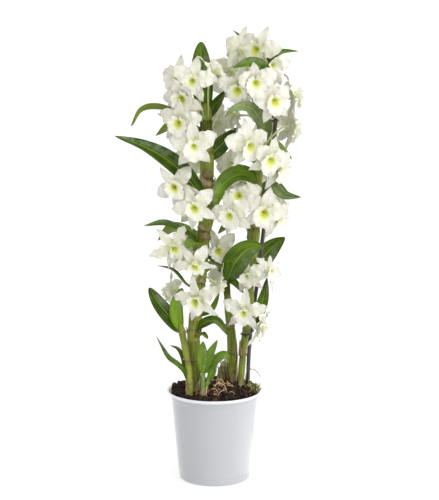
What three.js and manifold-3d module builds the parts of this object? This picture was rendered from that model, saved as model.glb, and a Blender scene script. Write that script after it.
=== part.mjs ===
// A potted dendrobium orchid: four leafy canes with their flowers, a support stake and its ties,
// in a white plastic pot filled with a bark mix.
// Millimetres, +Z up. The origin is the centre of the pot's foot, and the plant's front faces -Y.
import * as THREE from 'three';
import { mergeVertices } from 'three/addons/utils/BufferGeometryUtils.js';
import Module from 'manifold-3d';

const wasm = await Module();
wasm.setup();

// ---------------------------------------------------------------- driving dimensions

const CLEARANCE = 0.35;          // gap between pieces that touch
const DEGREE = Math.PI / 180;

const POT_HEIGHT = 115;
const POT_RIM_RADIUS = 60;
const POT_BODY_TOP_RADIUS = 54.3;
const POT_FOOT_RADIUS = 45;
const POT_WALL = 1.9;
const POT_FLOOR = 2.4;
const POT_STEP_HEIGHT = 104;     // the faint step under the rim
const POT_SEGMENTS = 28;
const DRAIN_HOLES = 4;
const DRAIN_HOLE_RADIUS = 4.5;
const DRAIN_CIRCLE_RADIUS = 25;
const FOOT_NOTCHES = 4;
const FOOT_NOTCH_RADIUS = 3.6;
const FOOT_NOTCH_TOP = 1.9;      // height of a notch in the foot's edge
const FOOT_NOTCH_DEPTH = 3.5;
const FOOT_NOTCH_START = -66;    // degrees from +X

const SOIL_EDGE_HEIGHT = 113;
const SOIL_DOME = 6.5;           // rise of the heap from its edge to its middle
const SOIL_RING_RADII = [12, 23, 33, 42, 49];
const SOIL_SEGMENTS = 20;
const STEM_DEPTH = 26;           // how far stems reach below the surface

const INTERNODE = 33;            // distance between the node rings of a cane
const CANE_SIDES = 7;
const LEAF_THICKNESS = 0.9;
const LEAF_FOLD = 0.22;          // rise of a leaf's edges over its midrib, per half width
const LEAF_STEP = 20;            // length of one span of a leaf
const NARROW_LEAF = 12;          // leaves up to this width have no fold
const LEAF_FOOT = 3.2;           // least width of a leaf where it leaves its cane
const ACUTE = [0.4, 0.75];       // a leaf's outline: where it is widest, and how pointed its tip is
const BLUNT = [0.45, 0.5];
const BROAD = [0.55, 0.65];

const STAKE_RADIUS = 2.6;
const TIE_RADIUS = 0.8;
const GRIP_STEPS = 12;           // points of a tie round each stem
const UPPER_TIE = { height: 453, caneGrip: 5.5, stakeGrip: STAKE_RADIUS };
const LOWER_TIE = { height: 186, caneGrip: 4.9, stakeGrip: STAKE_RADIUS + 0.2 };
const CLIP_RADIUS = 2.9;
const CLIP_LENGTH = 12;
const CLIP_TILT = 32;            // degrees above level
const CLIP_RELIEF = 0.2;         // extra room under the clip's edge

const PEDICEL_RADIUS = 1.15;
const OVARY_RADIUS = 1.7;
const PEDICEL_SIDES = 3;
const PEDICEL_STEPS = 3;
const PEDICEL_BOWS = [0, 5, -5, 10, -10, 16, -16, 22, -22];
const FLOWER_GUARD = 0.3;        // least gap that stalks and petals keep to their neighbours

const HUB_RADIUS = 4.4;
const HUB_THICKNESS = 2.6;
const TEPAL_THICKNESS = 0.85;
const TEPAL_BENDS = [0, -12, 12, -24, 24, -36, 36, -48, 48, -60, 60];
const TEPAL_REACHES = [1, 0.84, 0.68, 0.52];
const SEPAL = {
  length: 28, lean: 8, curl: 24,
  stations: [[0.36, 6.4, null], [0.72, 5, null], [1, 0, null]],
};
const PETAL = {
  length: 27.5, lean: 12, curl: 26,
  stations: [[0.42, 10, 1], [0.8, 7.8, -1], [1, 0, null]],
};
const TEPALS = [
  { form: SEPAL, angle: 90 },
  { form: PETAL, angle: 162 },
  { form: SEPAL, angle: 234 },
  { form: SEPAL, angle: 306 },
  { form: PETAL, angle: 18 },
];
// The lip grows from the hub's front face. Its mouth has five points [radius, height], which start
// at the hub's corner at HUB_TURN degrees and go on every 72 degrees.
const HUB_TURN = 54;
const LIP_THROAT = { radius: 5.6, height: 8 };
const LIP_MOUTH = [[9.5, 12.5], [9.5, 12.5], [13.2, 11.8], [18.8, 6.2], [13.2, 11.8]];
const LIP_THICKNESS = 0.9;
const COLUMN_HEIGHT = 8.5;

// ---------------------------------------------------------------- layout, placed by hand

// Each cane: centre points from its foot to its top, and its radii at even steps between them.
const CANES = {
  cane_left_tall: {
    radii: [6.2, 7.6, 7.6, 8.4, 8.8, 8.2, 6],
    points: [
      [-24, -21, 116], [-25, -20, 159], [-26, -19, 185], [-19, -16, 252], [-14, -15, 315],
      [-8, -15, 345], [-9, -15, 384], [-10, -15, 450], [-11, -15, 478],
    ],
  },
  cane_left_short: {
    radii: [3.4, 4.1, 4, 3.4],
    points: [[-31, -32, 119], [-32, -32, 147], [-37, -31, 179], [-43, -31, 211]],
  },
  cane_middle: {
    radii: [5, 5.7, 5.6, 4.6, 3.5],
    points: [[23, 14, 118], [22, 13, 156], [21, 12, 186], [18, 10, 211], [14, 10, 262]],
  },
  cane_right_tall: {
    radii: [3.6, 4.3, 4.4, 5.6, 6.4, 5.2, 4.4],
    points: [
      [33, -1, 116], [37, 0, 172], [45, 0, 222], [44, 0, 247], [46, 0, 275], [51, 0, 319],
      [53, 0, 381], [57, 0, 432], [58, 0, 486],
    ],
  },
};

// Leaves: [cane, width, direction that the upper face looks, twist in degrees, outline, midrib].
const FRONT = [0, -1, 0.25];
const UP = [0, -0.25, 1];
const UP_FRONT = [0, -0.8, 0.7];
const BACK = [0, 1, 0.4];
const LEAVES = [
  ['cane_left_tall', 27, FRONT, 0, BLUNT, [[-11, -14, 468], [-15, -8, 500], [-16, -6, 528], [-16, -8, 553]]],
  ['cane_left_tall', 17, UP, 64, BROAD,
    [[-11, -15, 458], [-39, -24, 466], [-66, -34, 475], [-88, -44, 473], [-100, -50, 455]]],
  ['cane_left_tall', 7, UP, 0, ACUTE, [[-10, -15, 442], [-44, -18, 451], [-70, -22, 468]]],
  ['cane_left_tall', 25, UP_FRONT, 0, ACUTE,
    [[-8, -15, 350], [-20, -26, 371], [-46, -40, 404], [-82, -46, 429], [-120, -48, 443]]],
  ['cane_left_tall', 13, FRONT, 0, BLUNT, [[-11, -15, 466], [-10, -10, 480], [-5, -6, 500]]],
  ['cane_left_tall', 13, FRONT, 0, ACUTE, [[-10, -15, 458], [0, -8, 474], [15, -2, 494]]],
  ['cane_left_tall', 21, FRONT, 0, ACUTE, [[-10, -15, 408], [2, -5, 420], [15, 3, 432], [28, 8, 446]]],
  ['cane_left_tall', 8, UP_FRONT, 0, ACUTE, [[-10, -15, 438], [-20, -16, 447], [-27, -16, 453]]],
  ['cane_left_tall', 12, UP, -40, ACUTE, [[-15, -15, 304], [-30, -22, 316], [-60, -30, 333], [-86, -36, 331]]],
  ['cane_left_tall', 22, UP, 0, BLUNT, [[-16, -15, 294], [-23, -30, 309], [-34, -46, 305]]],
  ['cane_left_tall', 14, FRONT, 0, ACUTE, [[-17, -15, 292], [-5, -8, 290], [6, -3, 276]]],
  ['cane_left_tall', 8, UP, 0, ACUTE, [[-19, -15, 246], [-34, -26, 256], [-52, -32, 276], [-70, -34, 281]]],
  ['cane_left_tall', 13, UP_FRONT, 0, ACUTE, [[-25, -18, 194], [-12, -34, 208], [2, -40, 213], [19, -40, 192]]],
  ['cane_left_tall', 8, FRONT, 0, ACUTE, [[-23, -18, 214], [-4, -26, 224], [7, -22, 246]]],
  ['cane_left_tall', 11, UP, 0, BLUNT, [[-25, -19, 182], [-15, -32, 194], [-8, -36, 189]]],
  ['cane_left_tall', 20, BACK, 0, ACUTE, [[-9, -15, 414], [-26, 10, 436], [-50, 36, 446], [-74, 52, 430]]],
  ['cane_left_tall', 20, BACK, 0, ACUTE, [[-16, -15, 292], [-32, 12, 312], [-54, 36, 314], [-72, 50, 296]]],
  ['cane_left_short', 19, FRONT, 0, BLUNT,
    [[-41, -31, 196], [-54, -36, 215], [-69, -40, 236], [-80, -43, 255]]],
  ['cane_left_short', 17, FRONT, 0, BLUNT,
    [[-42, -31, 200], [-46, -38, 216], [-46, -45, 236], [-39, -50, 256]]],
  ['cane_left_short', 7, UP_FRONT, 0, ACUTE,
    [[-31, -32, 128], [-37, -37, 147], [-46, -41, 158], [-56, -45, 167], [-65, -51, 184], [-71, -54, 196]]],
  ['cane_left_short', 7, UP_FRONT, 0, ACUTE,
    [[-32, -32, 134], [-36, -33, 152], [-40, -30, 166], [-46, -26, 174], [-56, -22, 177]]],
  ['cane_middle', 31, FRONT, 0, BROAD,
    [[15, 9, 250], [20, -8, 267], [28, -24, 286], [41, -35, 301], [60, -41, 307]]],
  ['cane_middle', 9, UP_FRONT, 0, ACUTE, [[15, 9, 254], [24, -1, 253], [37, -9, 240]]],
  ['cane_middle', 9, UP_FRONT, 0, ACUTE, [[14, 9, 258], [8, 2, 266], [1, -3, 266]]],
  ['cane_middle', 17, BACK, 0, ACUTE, [[15, 10, 250], [6, 32, 264], [-8, 50, 262], [-20, 60, 244]]],
  ['cane_right_tall', 24, UP_FRONT, 0, ACUTE,
    [[53, 0, 372], [42, -14, 389], [24, -26, 391], [8, -40, 379], [0, -50, 352]]],
  ['cane_right_tall', 12, UP_FRONT, 0, ACUTE, [[58, 0, 482], [59, -14, 510], [63, -24, 530], [80, -28, 542], [102, -24, 543]]],
  ['cane_right_tall', 21, FRONT, 0, ACUTE, [[58, 0, 482], [59, -24, 508], [54, -48, 527], [41, -60, 533], [22, -66, 527]]],
  ['cane_right_tall', 10, FRONT, 0, ACUTE, [[58, 0, 484], [56, 14, 514], [44, 22, 545], [23, 20, 565]]],
  ['cane_right_tall', 19, FRONT, 0, ACUTE,
    [[57, 0, 424], [62, -12, 446], [53, -36, 467], [37, -58, 480], [22, -68, 478], [13, -72, 469]]],
  ['cane_right_tall', 9, UP, 0, ACUTE, [[53, 0, 362], [43, 5, 373], [31, 7, 379]]],
  ['cane_right_tall', 17, UP_FRONT, 0, ACUTE, [[53, 0, 360], [70, 2, 374], [88, 0, 362], [107, -5, 361]]],
  ['cane_right_tall', 27, FRONT, 0, BROAD,
    [[46, 2, 252], [41, 22, 254], [54, 37, 268], [72, 40, 288], [89, 35, 303]]],
  ['cane_right_tall', 15, FRONT, 0, ACUTE, [[42, 0, 196], [52, 4, 206], [61, 8, 228], [66, 8, 257]]],
  ['cane_right_tall', 20, BACK, 0, ACUTE, [[55, 0, 398], [52, 28, 412], [74, 48, 418], [98, 56, 400]]],
  ['cane_right_tall', 20, BACK, 0, ACUTE, [[50, 0, 300], [40, 26, 318], [22, 50, 320], [4, 64, 302]]],
];

// Blooms: [cane, x, y, z, azimuth, elevation, roll, size, cup]. Azimuth 0 faces the front and grows
// towards +X, elevation is above level, roll turns the flower about its own axis, and cup is how
// many degrees its sepals and petals lean in where it is half open.
const BLOOMS = [
  ['cane_left_tall', -43, -42, 511, -40, 5, 0, 0.98],
  ['cane_left_tall', -25, -60, 512, -8, 0, -12, 0.96],
  ['cane_left_tall', -1, -30, 514, 78, 38, 15, 1, 12],
  ['cane_left_tall', -37, -56, 491, -24, -5, 20, 0.94],
  ['cane_left_tall', -41, -61, 462, -18, 0, -6, 0.95],
  ['cane_left_tall', -25, -66, 435, 6, -5, 4, 1.04],
  ['cane_right_tall', 29, -46, 501, -8, -12, -10, 0.98],
  ['cane_right_tall', 49, -50, 508, 6, 5, 6, 1.02],
  ['cane_right_tall', 54, -24, 545, -30, 10, -14, 1],
  ['cane_right_tall', 32, -2, 543, -145, 10, 10, 0.96],
  ['cane_right_tall', 70, -40, 485, 22, 6, 12, 0.96],
  ['cane_right_tall', 70, 16, 522, 20, 12, -8, 0.92],
  ['cane_right_tall', 40, -54, 434, 30, -5, 5, 1.06],
  ['cane_right_tall', 66, -50, 416, 24, -6, -22, 0.94],
  ['cane_right_tall', 77, -26, 401, 50, -10, 10, 1],
  ['cane_left_tall', -46, -50, 382, -26, 5, 40, 1.02],
  ['cane_right_tall', 31, -42, 368, -18, 24, 12, 0.96],
  ['cane_left_tall', -23, -66, 360, -12, 0, 26, 1],
  ['cane_right_tall', 21, -60, 350, -28, -5, 16, 0.96],
  ['cane_right_tall', 60, -54, 352, 6, 0, -20, 1.02],
  ['cane_right_tall', 76, -22, 339, 46, -10, 12, 0.98],
  ['cane_left_tall', -52, -47, 307, 25, -10, 38, 1],
  ['cane_left_tall', -24, -66, 291, -4, -26, 36, 0.98],
  ['cane_left_tall', 4, -7, 296, 4, 0, 20, 0.96],
  ['cane_right_tall', 41, -14, 265, -12, -10, 10, 0.86],
  ['cane_right_tall', 68, -4, 267, 50, 20, -36, 0.84],
  ['cane_left_tall', -20, -64, 245, -26, -6, 12, 1.08],
  ['cane_right_tall', 37, -36, 224, -10, -10, -6, 0.98],
  ['cane_right_tall', 55, -18, 200, 75, -18, 10, 0.96],
  ['cane_left_tall', -52, -6, 243, -110, -10, 0, 0.9],
  ['cane_left_tall', 1, -22, 257, 104, -30, 10, 0.92],
  ['cane_left_tall', -36, 21, 467, -150, 10, 0, 0.98],
  ['cane_left_tall', 2, 28, 452, 165, 0, 12, 1],
  ['cane_right_tall', 28, 0, 462, -98, 0, -10, 0.94],
  ['cane_right_tall', 22, 30, 514, -155, 12, 8, 1],
  ['cane_right_tall', 95, 8, 486, 98, 10, 0, 0.98],
  ['cane_right_tall', 92, 14, 446, 112, -8, 14, 1],
  ['cane_right_tall', 18, 16, 402, -120, 8, 0, 0.96],
  ['cane_left_tall', -22, 34, 404, 178, -5, -10, 1],
  ['cane_right_tall', 66, 44, 450, 160, 5, 10, 1],
  ['cane_left_tall', -24, 32, 344, -172, -8, 6, 0.98],
  ['cane_right_tall', 40, 46, 366, -178, 0, -12, 1],
  ['cane_right_tall', 66, 46, 344, 155, -10, 8, 0.96],
  ['cane_left_tall', -34, 26, 288, -162, -6, 10, 0.98],
  ['cane_left_tall', -10, 32, 506, 176, 10, -8, 1],
  ['cane_right_tall', 62, 44, 520, 162, 14, 6, 0.98],
];

// Shoots at the foot of the left canes: one body of two stems and their leaves.
const SHOOT_STEMS = [
  { radii: [2.6, 3, 2.4], points: [[-15, -37, 117], [-14, -37, 138], [-13, -38, 158]] },
  { radii: [2.4, 2.6, 1.8], points: [[-14, -38, 114], [-9, -36, 132], [-5, -32, 150]] },
];
const SHOOT_LEAVES = [
  [13, FRONT, 0, BROAD, [[-14, -37, 142], [-15, -40, 162], [-14, -42, 187]]],
  [12, UP_FRONT, 0, ACUTE, [[-13, -38, 148], [-6, -42, 168], [4, -46, 190]]],
  [13, UP_FRONT, 0, BLUNT, [[-13, -38, 146], [2, -42, 163], [13, -44, 170], [17, -46, 160]]],
  [8, FRONT, 0, ACUTE, [[-9, -36, 134], [-2, -38, 146], [2, -38, 162]]],
];

const OLD_BULB = {
  radii: [6.4, 8, 8.2, 7.2, 5],
  points: [[11, 25, 112], [11, 25, 121], [12, 25, 130], [13, 26, 138], [13, 26, 143]],
};

const STAKE_POINTS = [
  [41, 20, 72], [45, 20, 176], [54, 20, 249], [62, 20, 318], [69, 20, 379], [76, 20, 456],
];

// Roots: each runs from the crown to a point where it dips into the growing medium.
const ROOT_RADIUS = 0.9;
const ROOT_STEPS = 5;
const ROOT_DIP = 3.5;            // how deep each end goes
const ROOT_SWAY = 3;
const ROOT_CROWN = [14, 2];
const ROOT_ENDS = [[-2, -16, 4], [2, -32, 3], [31, -22, 4], [-8, 8, 5], [18, -40, 4]];

// ---------------------------------------------------------------- solids

function vector([x, y, z]) {
  return new THREE.Vector3(x, y, z);
}

function geometryOf(points, faces) {
  const geometry = new THREE.BufferGeometry();
  const numbers = points.flatMap((p) => [p.x, p.y, p.z]);
  geometry.setAttribute('position', new THREE.Float32BufferAttribute(numbers, 3));
  geometry.setIndex(faces.flat());
  return geometry;
}

function solidOf(geometry) {
  geometry.deleteAttribute('normal');
  geometry.deleteAttribute('uv');
  const merged = mergeVertices(geometry, 1e-4);
  const mesh = new wasm.Mesh({
    numProp: 3,
    vertProperties: new Float32Array(merged.attributes.position.array),
    triVerts: new Uint32Array(merged.index.array),
  });
  return new wasm.Manifold(mesh);
}

function meshOf(name, solid, material) {
  const result = solid.getMesh();
  const geometry = new THREE.BufferGeometry();
  geometry.setAttribute('position', new THREE.Float32BufferAttribute(result.vertProperties, 3));
  geometry.setIndex(Array.from(result.triVerts));
  geometry.computeVertexNormals();
  const mesh = new THREE.Mesh(geometry, material);
  mesh.name = name;
  return mesh;
}

function fuse(solids) {
  return solids.reduce((whole, solid) => whole.add(solid));
}

// A round bar through the centres, with a flat end at each end unless it is a closed loop. An end
// tangent squares the last end to a given direction.
function bar(centres, radii, sides, { loopNormal = null, endTangent = null } = {}) {
  const count = centres.length;
  const points = [];
  const faces = [];
  let normal = loopNormal ? loopNormal.clone() : null;
  for (let i = 0; i < count; i++) {
    const before = centres[loopNormal ? (i + count - 1) % count : Math.max(i - 1, 0)];
    const after = centres[loopNormal ? (i + 1) % count : Math.min(i + 1, count - 1)];
    let tangent = after.clone().sub(before).normalize();
    if (endTangent && i === count - 1) tangent = endTangent;
    if (!normal) normal = new THREE.Vector3(1, 0.2, 0.1);
    normal = normal.clone().addScaledVector(tangent, -normal.dot(tangent)).normalize();
    const binormal = tangent.clone().cross(normal);
    for (let k = 0; k < sides; k++) {
      const angle = (2 * Math.PI * k) / sides;
      points.push(centres[i].clone()
        .addScaledVector(normal, radii[i] * Math.cos(angle))
        .addScaledVector(binormal, radii[i] * Math.sin(angle)));
    }
  }
  const spans = loopNormal ? count : count - 1;
  for (let i = 0; i < spans; i++) {
    const here = i * sides;
    const next = ((i + 1) % count) * sides;
    for (let k = 0; k < sides; k++) {
      const turn = (k + 1) % sides;
      faces.push([here + k, here + turn, next + turn], [here + k, next + turn, next + k]);
    }
  }
  if (!loopNormal) {
    const last = (count - 1) * sides;
    for (let k = 1; k < sides - 1; k++) {
      faces.push([0, k + 1, k], [last, last + k, last + k + 1]);
    }
  }
  return geometryOf(points, faces);
}

// Triangles between two rows of points, as index triples, wound for a face that looks up.
function stitch(first, second) {
  const faces = [];
  let i = 0;
  let j = 0;
  while (i < first.length - 1 || j < second.length - 1) {
    const nextFirst = first.length > 1 ? (i + 1) / (first.length - 1) : Infinity;
    const nextSecond = second.length > 1 ? (j + 1) / (second.length - 1) : Infinity;
    if (i < first.length - 1 && (nextFirst <= nextSecond || j === second.length - 1)) {
      faces.push([first[i], first[i + 1], second[j]]);
      i += 1;
    } else {
      faces.push([first[i], second[j + 1], second[j]]);
      j += 1;
    }
  }
  return faces;
}

// A thin blade through rows of points: each row has its upper points from side to side and the
// lower points under them, and the last row is one point over another.
function blade(rows, closeStart) {
  const points = [];
  const faces = [];
  const index = rows.map(({ upper, lower }) => ({
    upper: upper.map((p) => points.push(p) - 1),
    lower: lower.map((p) => points.push(p) - 1),
  }));
  for (let i = 0; i < index.length - 1; i++) {
    const here = index[i];
    const next = index[i + 1];
    faces.push(...stitch(here.upper, next.upper));
    faces.push(...stitch(here.lower, next.lower).map(([a, b, c]) => [a, c, b]));
    const [a, b, c, d] = [here.upper[0], next.upper[0], next.lower[0], here.lower[0]];
    faces.push([a, b, c], [a, c, d]);
    const [e, f, g, h] = [here.upper.at(-1), next.upper.at(-1), next.lower.at(-1), here.lower.at(-1)];
    faces.push([e, g, f], [e, h, g]);
  }
  if (closeStart) {
    const rim = [...index[0].lower, ...[...index[0].upper].reverse()];
    for (let k = 1; k < rim.length - 1; k++) faces.push([rim[0], rim[k], rim[k + 1]]);
  }
  return { points, faces };
}

// ---------------------------------------------------------------- pot and growing medium

function potProfile() {
  const body = POT_BODY_TOP_RADIUS;
  return [
    [0, 0], [POT_FOOT_RADIUS - 3, 0], [POT_FOOT_RADIUS - 0.9, 0.9], [POT_FOOT_RADIUS, 3],
    [body, POT_STEP_HEIGHT], [body + 0.9, POT_STEP_HEIGHT + 0.8], [body + 1.2, POT_HEIGHT - 5],
    [POT_RIM_RADIUS - 1.8, POT_HEIGHT - 4], [POT_RIM_RADIUS, POT_HEIGHT - 2.4],
    [POT_RIM_RADIUS - 0.2, POT_HEIGHT - 0.7], [POT_RIM_RADIUS - 1.6, POT_HEIGHT],
    [body + 1.4, POT_HEIGHT - 2.4], [body - 0.8, POT_HEIGHT - 5],
    [POT_FOOT_RADIUS - POT_WALL + 0.3, POT_FLOOR + 2], [POT_FOOT_RADIUS - 3.5, POT_FLOOR], [0, POT_FLOOR],
  ].map(([radius, height]) => new THREE.Vector2(radius, height));
}

function buildPot() {
  const lathe = new THREE.LatheGeometry(potProfile(), POT_SEGMENTS);
  lathe.rotateX(Math.PI / 2);
  let pot = solidOf(lathe);
  for (let k = 0; k < DRAIN_HOLES; k++) {
    const angle = (360 / DRAIN_HOLES) * (k + 0.5) * DEGREE;
    const hole = new THREE.CylinderGeometry(DRAIN_HOLE_RADIUS, DRAIN_HOLE_RADIUS, 4 * POT_FLOOR, 10);
    hole.rotateX(Math.PI / 2);
    hole.translate(DRAIN_CIRCLE_RADIUS * Math.cos(angle), DRAIN_CIRCLE_RADIUS * Math.sin(angle), 0);
    pot = pot.subtract(solidOf(hole));
  }
  for (let k = 0; k < FOOT_NOTCHES; k++) {
    const notch = new THREE.CylinderGeometry(FOOT_NOTCH_RADIUS, FOOT_NOTCH_RADIUS, 6, 8);
    notch.rotateZ(Math.PI / 2);
    notch.translate(POT_FOOT_RADIUS - FOOT_NOTCH_DEPTH + 3, 0, FOOT_NOTCH_TOP - FOOT_NOTCH_RADIUS);
    notch.rotateZ((FOOT_NOTCH_START + (360 / FOOT_NOTCHES) * k) * DEGREE);
    pot = pot.subtract(solidOf(notch));
  }
  return pot;
}

function soilHeight(x, y) {
  const spread = Math.min(1, Math.hypot(x, y) / SOIL_RING_RADII.at(-1));
  const lumps = 1.3 * Math.sin(0.31 * x + 1.3) * Math.cos(0.27 * y) + 0.9 * Math.sin(0.13 * x - 0.23 * y + 0.6);
  return SOIL_EDGE_HEIGHT + 1.4 + SOIL_DOME * (1 - spread * spread) + lumps;
}

function buildSoilBlock() {
  const bottomRadius = POT_FOOT_RADIUS - 3.5 - CLEARANCE;
  const wallFoot = POT_FOOT_RADIUS - POT_WALL + 0.3 - CLEARANCE;
  const wallTop = POT_BODY_TOP_RADIUS - 0.8 - CLEARANCE;
  const rings = [
    [bottomRadius, () => POT_FLOOR + CLEARANCE],
    [wallFoot, () => POT_FLOOR + 2 + CLEARANCE],
    [wallTop, () => POT_HEIGHT - 5],
    ...[...SOIL_RING_RADII].reverse().map((radius) => [radius, soilHeight]),
  ];
  const points = [new THREE.Vector3(0, 0, POT_FLOOR + CLEARANCE)];
  const faces = [];
  for (const [radius, height] of rings) {
    for (let k = 0; k < SOIL_SEGMENTS; k++) {
      const angle = (2 * Math.PI * k) / SOIL_SEGMENTS;
      const x = radius * Math.cos(angle);
      const y = radius * Math.sin(angle);
      points.push(new THREE.Vector3(x, y, height(x, y)));
    }
  }
  const top = points.push(new THREE.Vector3(0, 0, soilHeight(0, 0))) - 1;
  const lastRing = 1 + (rings.length - 1) * SOIL_SEGMENTS;
  for (let k = 0; k < SOIL_SEGMENTS; k++) {
    const turn = (k + 1) % SOIL_SEGMENTS;
    faces.push([0, 1 + turn, 1 + k], [top, lastRing + k, lastRing + turn]);
    for (let i = 0; i < rings.length - 1; i++) {
      const here = 1 + i * SOIL_SEGMENTS;
      const next = here + SOIL_SEGMENTS;
      faces.push([here + k, here + turn, next + turn], [here + k, next + turn, next + k]);
    }
  }
  return solidOf(geometryOf(points, faces));
}

// ---------------------------------------------------------------- stems and leaves

function radiusAt(radii, share) {
  const place = Math.min(Math.max(share, 0), 1) * (radii.length - 1);
  const low = Math.min(Math.floor(place), radii.length - 2);
  return THREE.MathUtils.lerp(radii[low], radii[low + 1], place - low);
}

// A stem's centre line, lengthened downwards into the growing medium.
function stemCurve(points, depth) {
  const foot = vector(points[0]);
  foot.z -= depth;
  return new THREE.CatmullRomCurve3([foot, ...points.map(vector)]);
}

function caneNodes(curve) {
  const length = curve.getLength();
  const nodes = [];
  for (let along = STEM_DEPTH + 10; along < length - 8; along += INTERNODE) nodes.push(along / length);
  return nodes;
}

function buildCane({ points, radii }, extra = 0) {
  const curve = stemCurve(points, STEM_DEPTH + extra);
  const length = curve.getLength();
  const stations = [[0, 1]];
  for (const node of caneNodes(curve)) {
    stations.push([node - 2 / length, 0.9], [node, 1.08], [node + 15 / length, 1.0]);
  }
  const kept = stations.filter(([share]) => share < 1 - 4 / length);
  kept.push([1, 0.72]);
  const centres = kept.map(([share]) => curve.getPointAt(share));
  const widths = kept.map(([share, swell]) => radiusAt(radii, share) * swell + extra);
  return solidOf(bar(centres, widths, CANE_SIDES));
}

function buildStem({ points, radii }, depth, sides, extra = 0) {
  const curve = stemCurve(points, depth + extra);
  const count = radii.length + 1;
  const centres = [];
  const widths = [];
  for (let i = 0; i <= count; i++) {
    centres.push(curve.getPointAt(i / count));
    widths.push(radiusAt(radii, i / count) + extra);
  }
  return solidOf(bar(centres, widths, sides));
}

function leafWidth(width, [peak, point], share) {
  const place = Math.pow(share, Math.log(0.5) / Math.log(peak));
  const swell = Math.pow(Math.max(0, Math.sin(Math.PI * place)), point);
  return Math.max(width * swell, LEAF_FOOT * (1 - share));
}

function buildLeaf(width, face, twist, outline, points) {
  const curve = new THREE.CatmullRomCurve3(points.map(vector));
  const folded = width > NARROW_LEAF;
  const steps = Math.min(folded ? 6 : 4, Math.max(3, Math.round(curve.getLength() / LEAF_STEP)));
  const rows = [];
  for (let i = 0; i <= steps; i++) {
    const share = i / steps;
    const centre = curve.getPointAt(share);
    const tangent = curve.getTangentAt(share);
    const across = tangent.clone().cross(vector(face)).normalize();
    across.applyAxisAngle(tangent, twist * share * DEGREE);
    const normal = across.clone().cross(tangent).normalize();
    const half = leafWidth(width, outline, share) / 2;
    const drop = normal.clone().multiplyScalar(-LEAF_THICKNESS);
    let upper = [centre];
    if (i < steps) {
      const edge = (side) => centre.clone()
        .addScaledVector(across, side * half)
        .addScaledVector(normal, LEAF_FOLD * half);
      upper = folded ? [edge(-1), centre, edge(1)] : [edge(-1), edge(1)];
    }
    rows.push({ upper, lower: upper.map((p) => p.clone().add(drop)) });
  }
  const { points: corners, faces } = blade(rows, true);
  return solidOf(geometryOf(corners, faces));
}

// ---------------------------------------------------------------- blooms

function facingOf([, , , , azimuth, elevation]) {
  const level = Math.cos(elevation * DEGREE);
  return new THREE.Vector3(
    Math.sin(azimuth * DEGREE) * level,
    -Math.cos(azimuth * DEGREE) * level,
    Math.sin(elevation * DEGREE),
  );
}

function bloomMatrix(bloom) {
  const [, x, y, z, , , roll, size] = bloom;
  const facing = facingOf(bloom);
  const right = new THREE.Vector3(0, 0, 1).cross(facing).normalize();
  const up = facing.clone().cross(right);
  const matrix = new THREE.Matrix4().makeBasis(right, up, facing);
  matrix.multiply(new THREE.Matrix4().makeRotationZ(roll * DEGREE));
  matrix.scale(new THREE.Vector3(size, size, size));
  matrix.setPosition(x, y, z);
  return matrix;
}

function hubCorner(angle, height) {
  return new THREE.Vector3(
    HUB_RADIUS * Math.cos(angle * DEGREE),
    HUB_RADIUS * Math.sin(angle * DEGREE),
    height,
  );
}

// Rows of one sepal or petal, which starts on a side of the five-sided hub.
function tepalRows({ form, angle }, bend, reach, guard) {
  const out = new THREE.Vector3(Math.cos(angle * DEGREE), Math.sin(angle * DEGREE), 0);
  const up = new THREE.Vector3(0, 0, 1);
  const across = out.clone().cross(up);
  const base = [angle + 36, angle - 36];
  const rows = [{
    upper: base.map((a) => hubCorner(a, HUB_THICKNESS / 2)),
    lower: base.map((a) => hubCorner(a, -HUB_THICKNESS / 2)),
  }];
  const centre = out.clone().multiplyScalar(HUB_RADIUS * Math.cos(36 * DEGREE));
  const thickness = TEPAL_THICKNESS / 2 + guard;
  let previous = 0;
  for (const [share, half, lift] of form.stations) {
    const slope = (form.lean + bend - form.curl * share) * DEGREE;
    const forward = out.clone().multiplyScalar(Math.cos(slope)).addScaledVector(up, Math.sin(slope));
    const normal = up.clone().multiplyScalar(Math.cos(slope)).addScaledVector(out, -Math.sin(slope));
    centre.addScaledVector(forward, (share - previous) * form.length * reach + (share === 1 ? guard : 0));
    previous = share;
    const edge = (side) => centre.clone()
      .addScaledVector(across, side * (half * Math.sqrt(reach) + guard))
      .addScaledVector(normal, lift ?? 0);
    let line = [centre.clone()];
    if (share < 1) line = lift === null ? [edge(-1), edge(1)] : [edge(-1), centre.clone(), edge(1)];
    rows.push({
      upper: line.map((p) => p.clone().addScaledVector(normal, thickness)),
      lower: line.map((p) => p.clone().addScaledVector(normal, -thickness)),
    });
  }
  return rows;
}

function tepalSolid(tepal, bend, reach, guard, matrix) {
  const { points, faces } = blade(tepalRows(tepal, bend, reach, guard), true);
  return solidOf(geometryOf(points, faces).applyMatrix4(matrix));
}

// A ring of five points above the hub's corners.
function ringOf(radii, heights) {
  return radii.map((radius, k) => {
    const angle = (HUB_TURN + 72 * k) * DEGREE;
    return new THREE.Vector3(radius * Math.cos(angle), radius * Math.sin(angle), heights[k]);
  });
}

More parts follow.
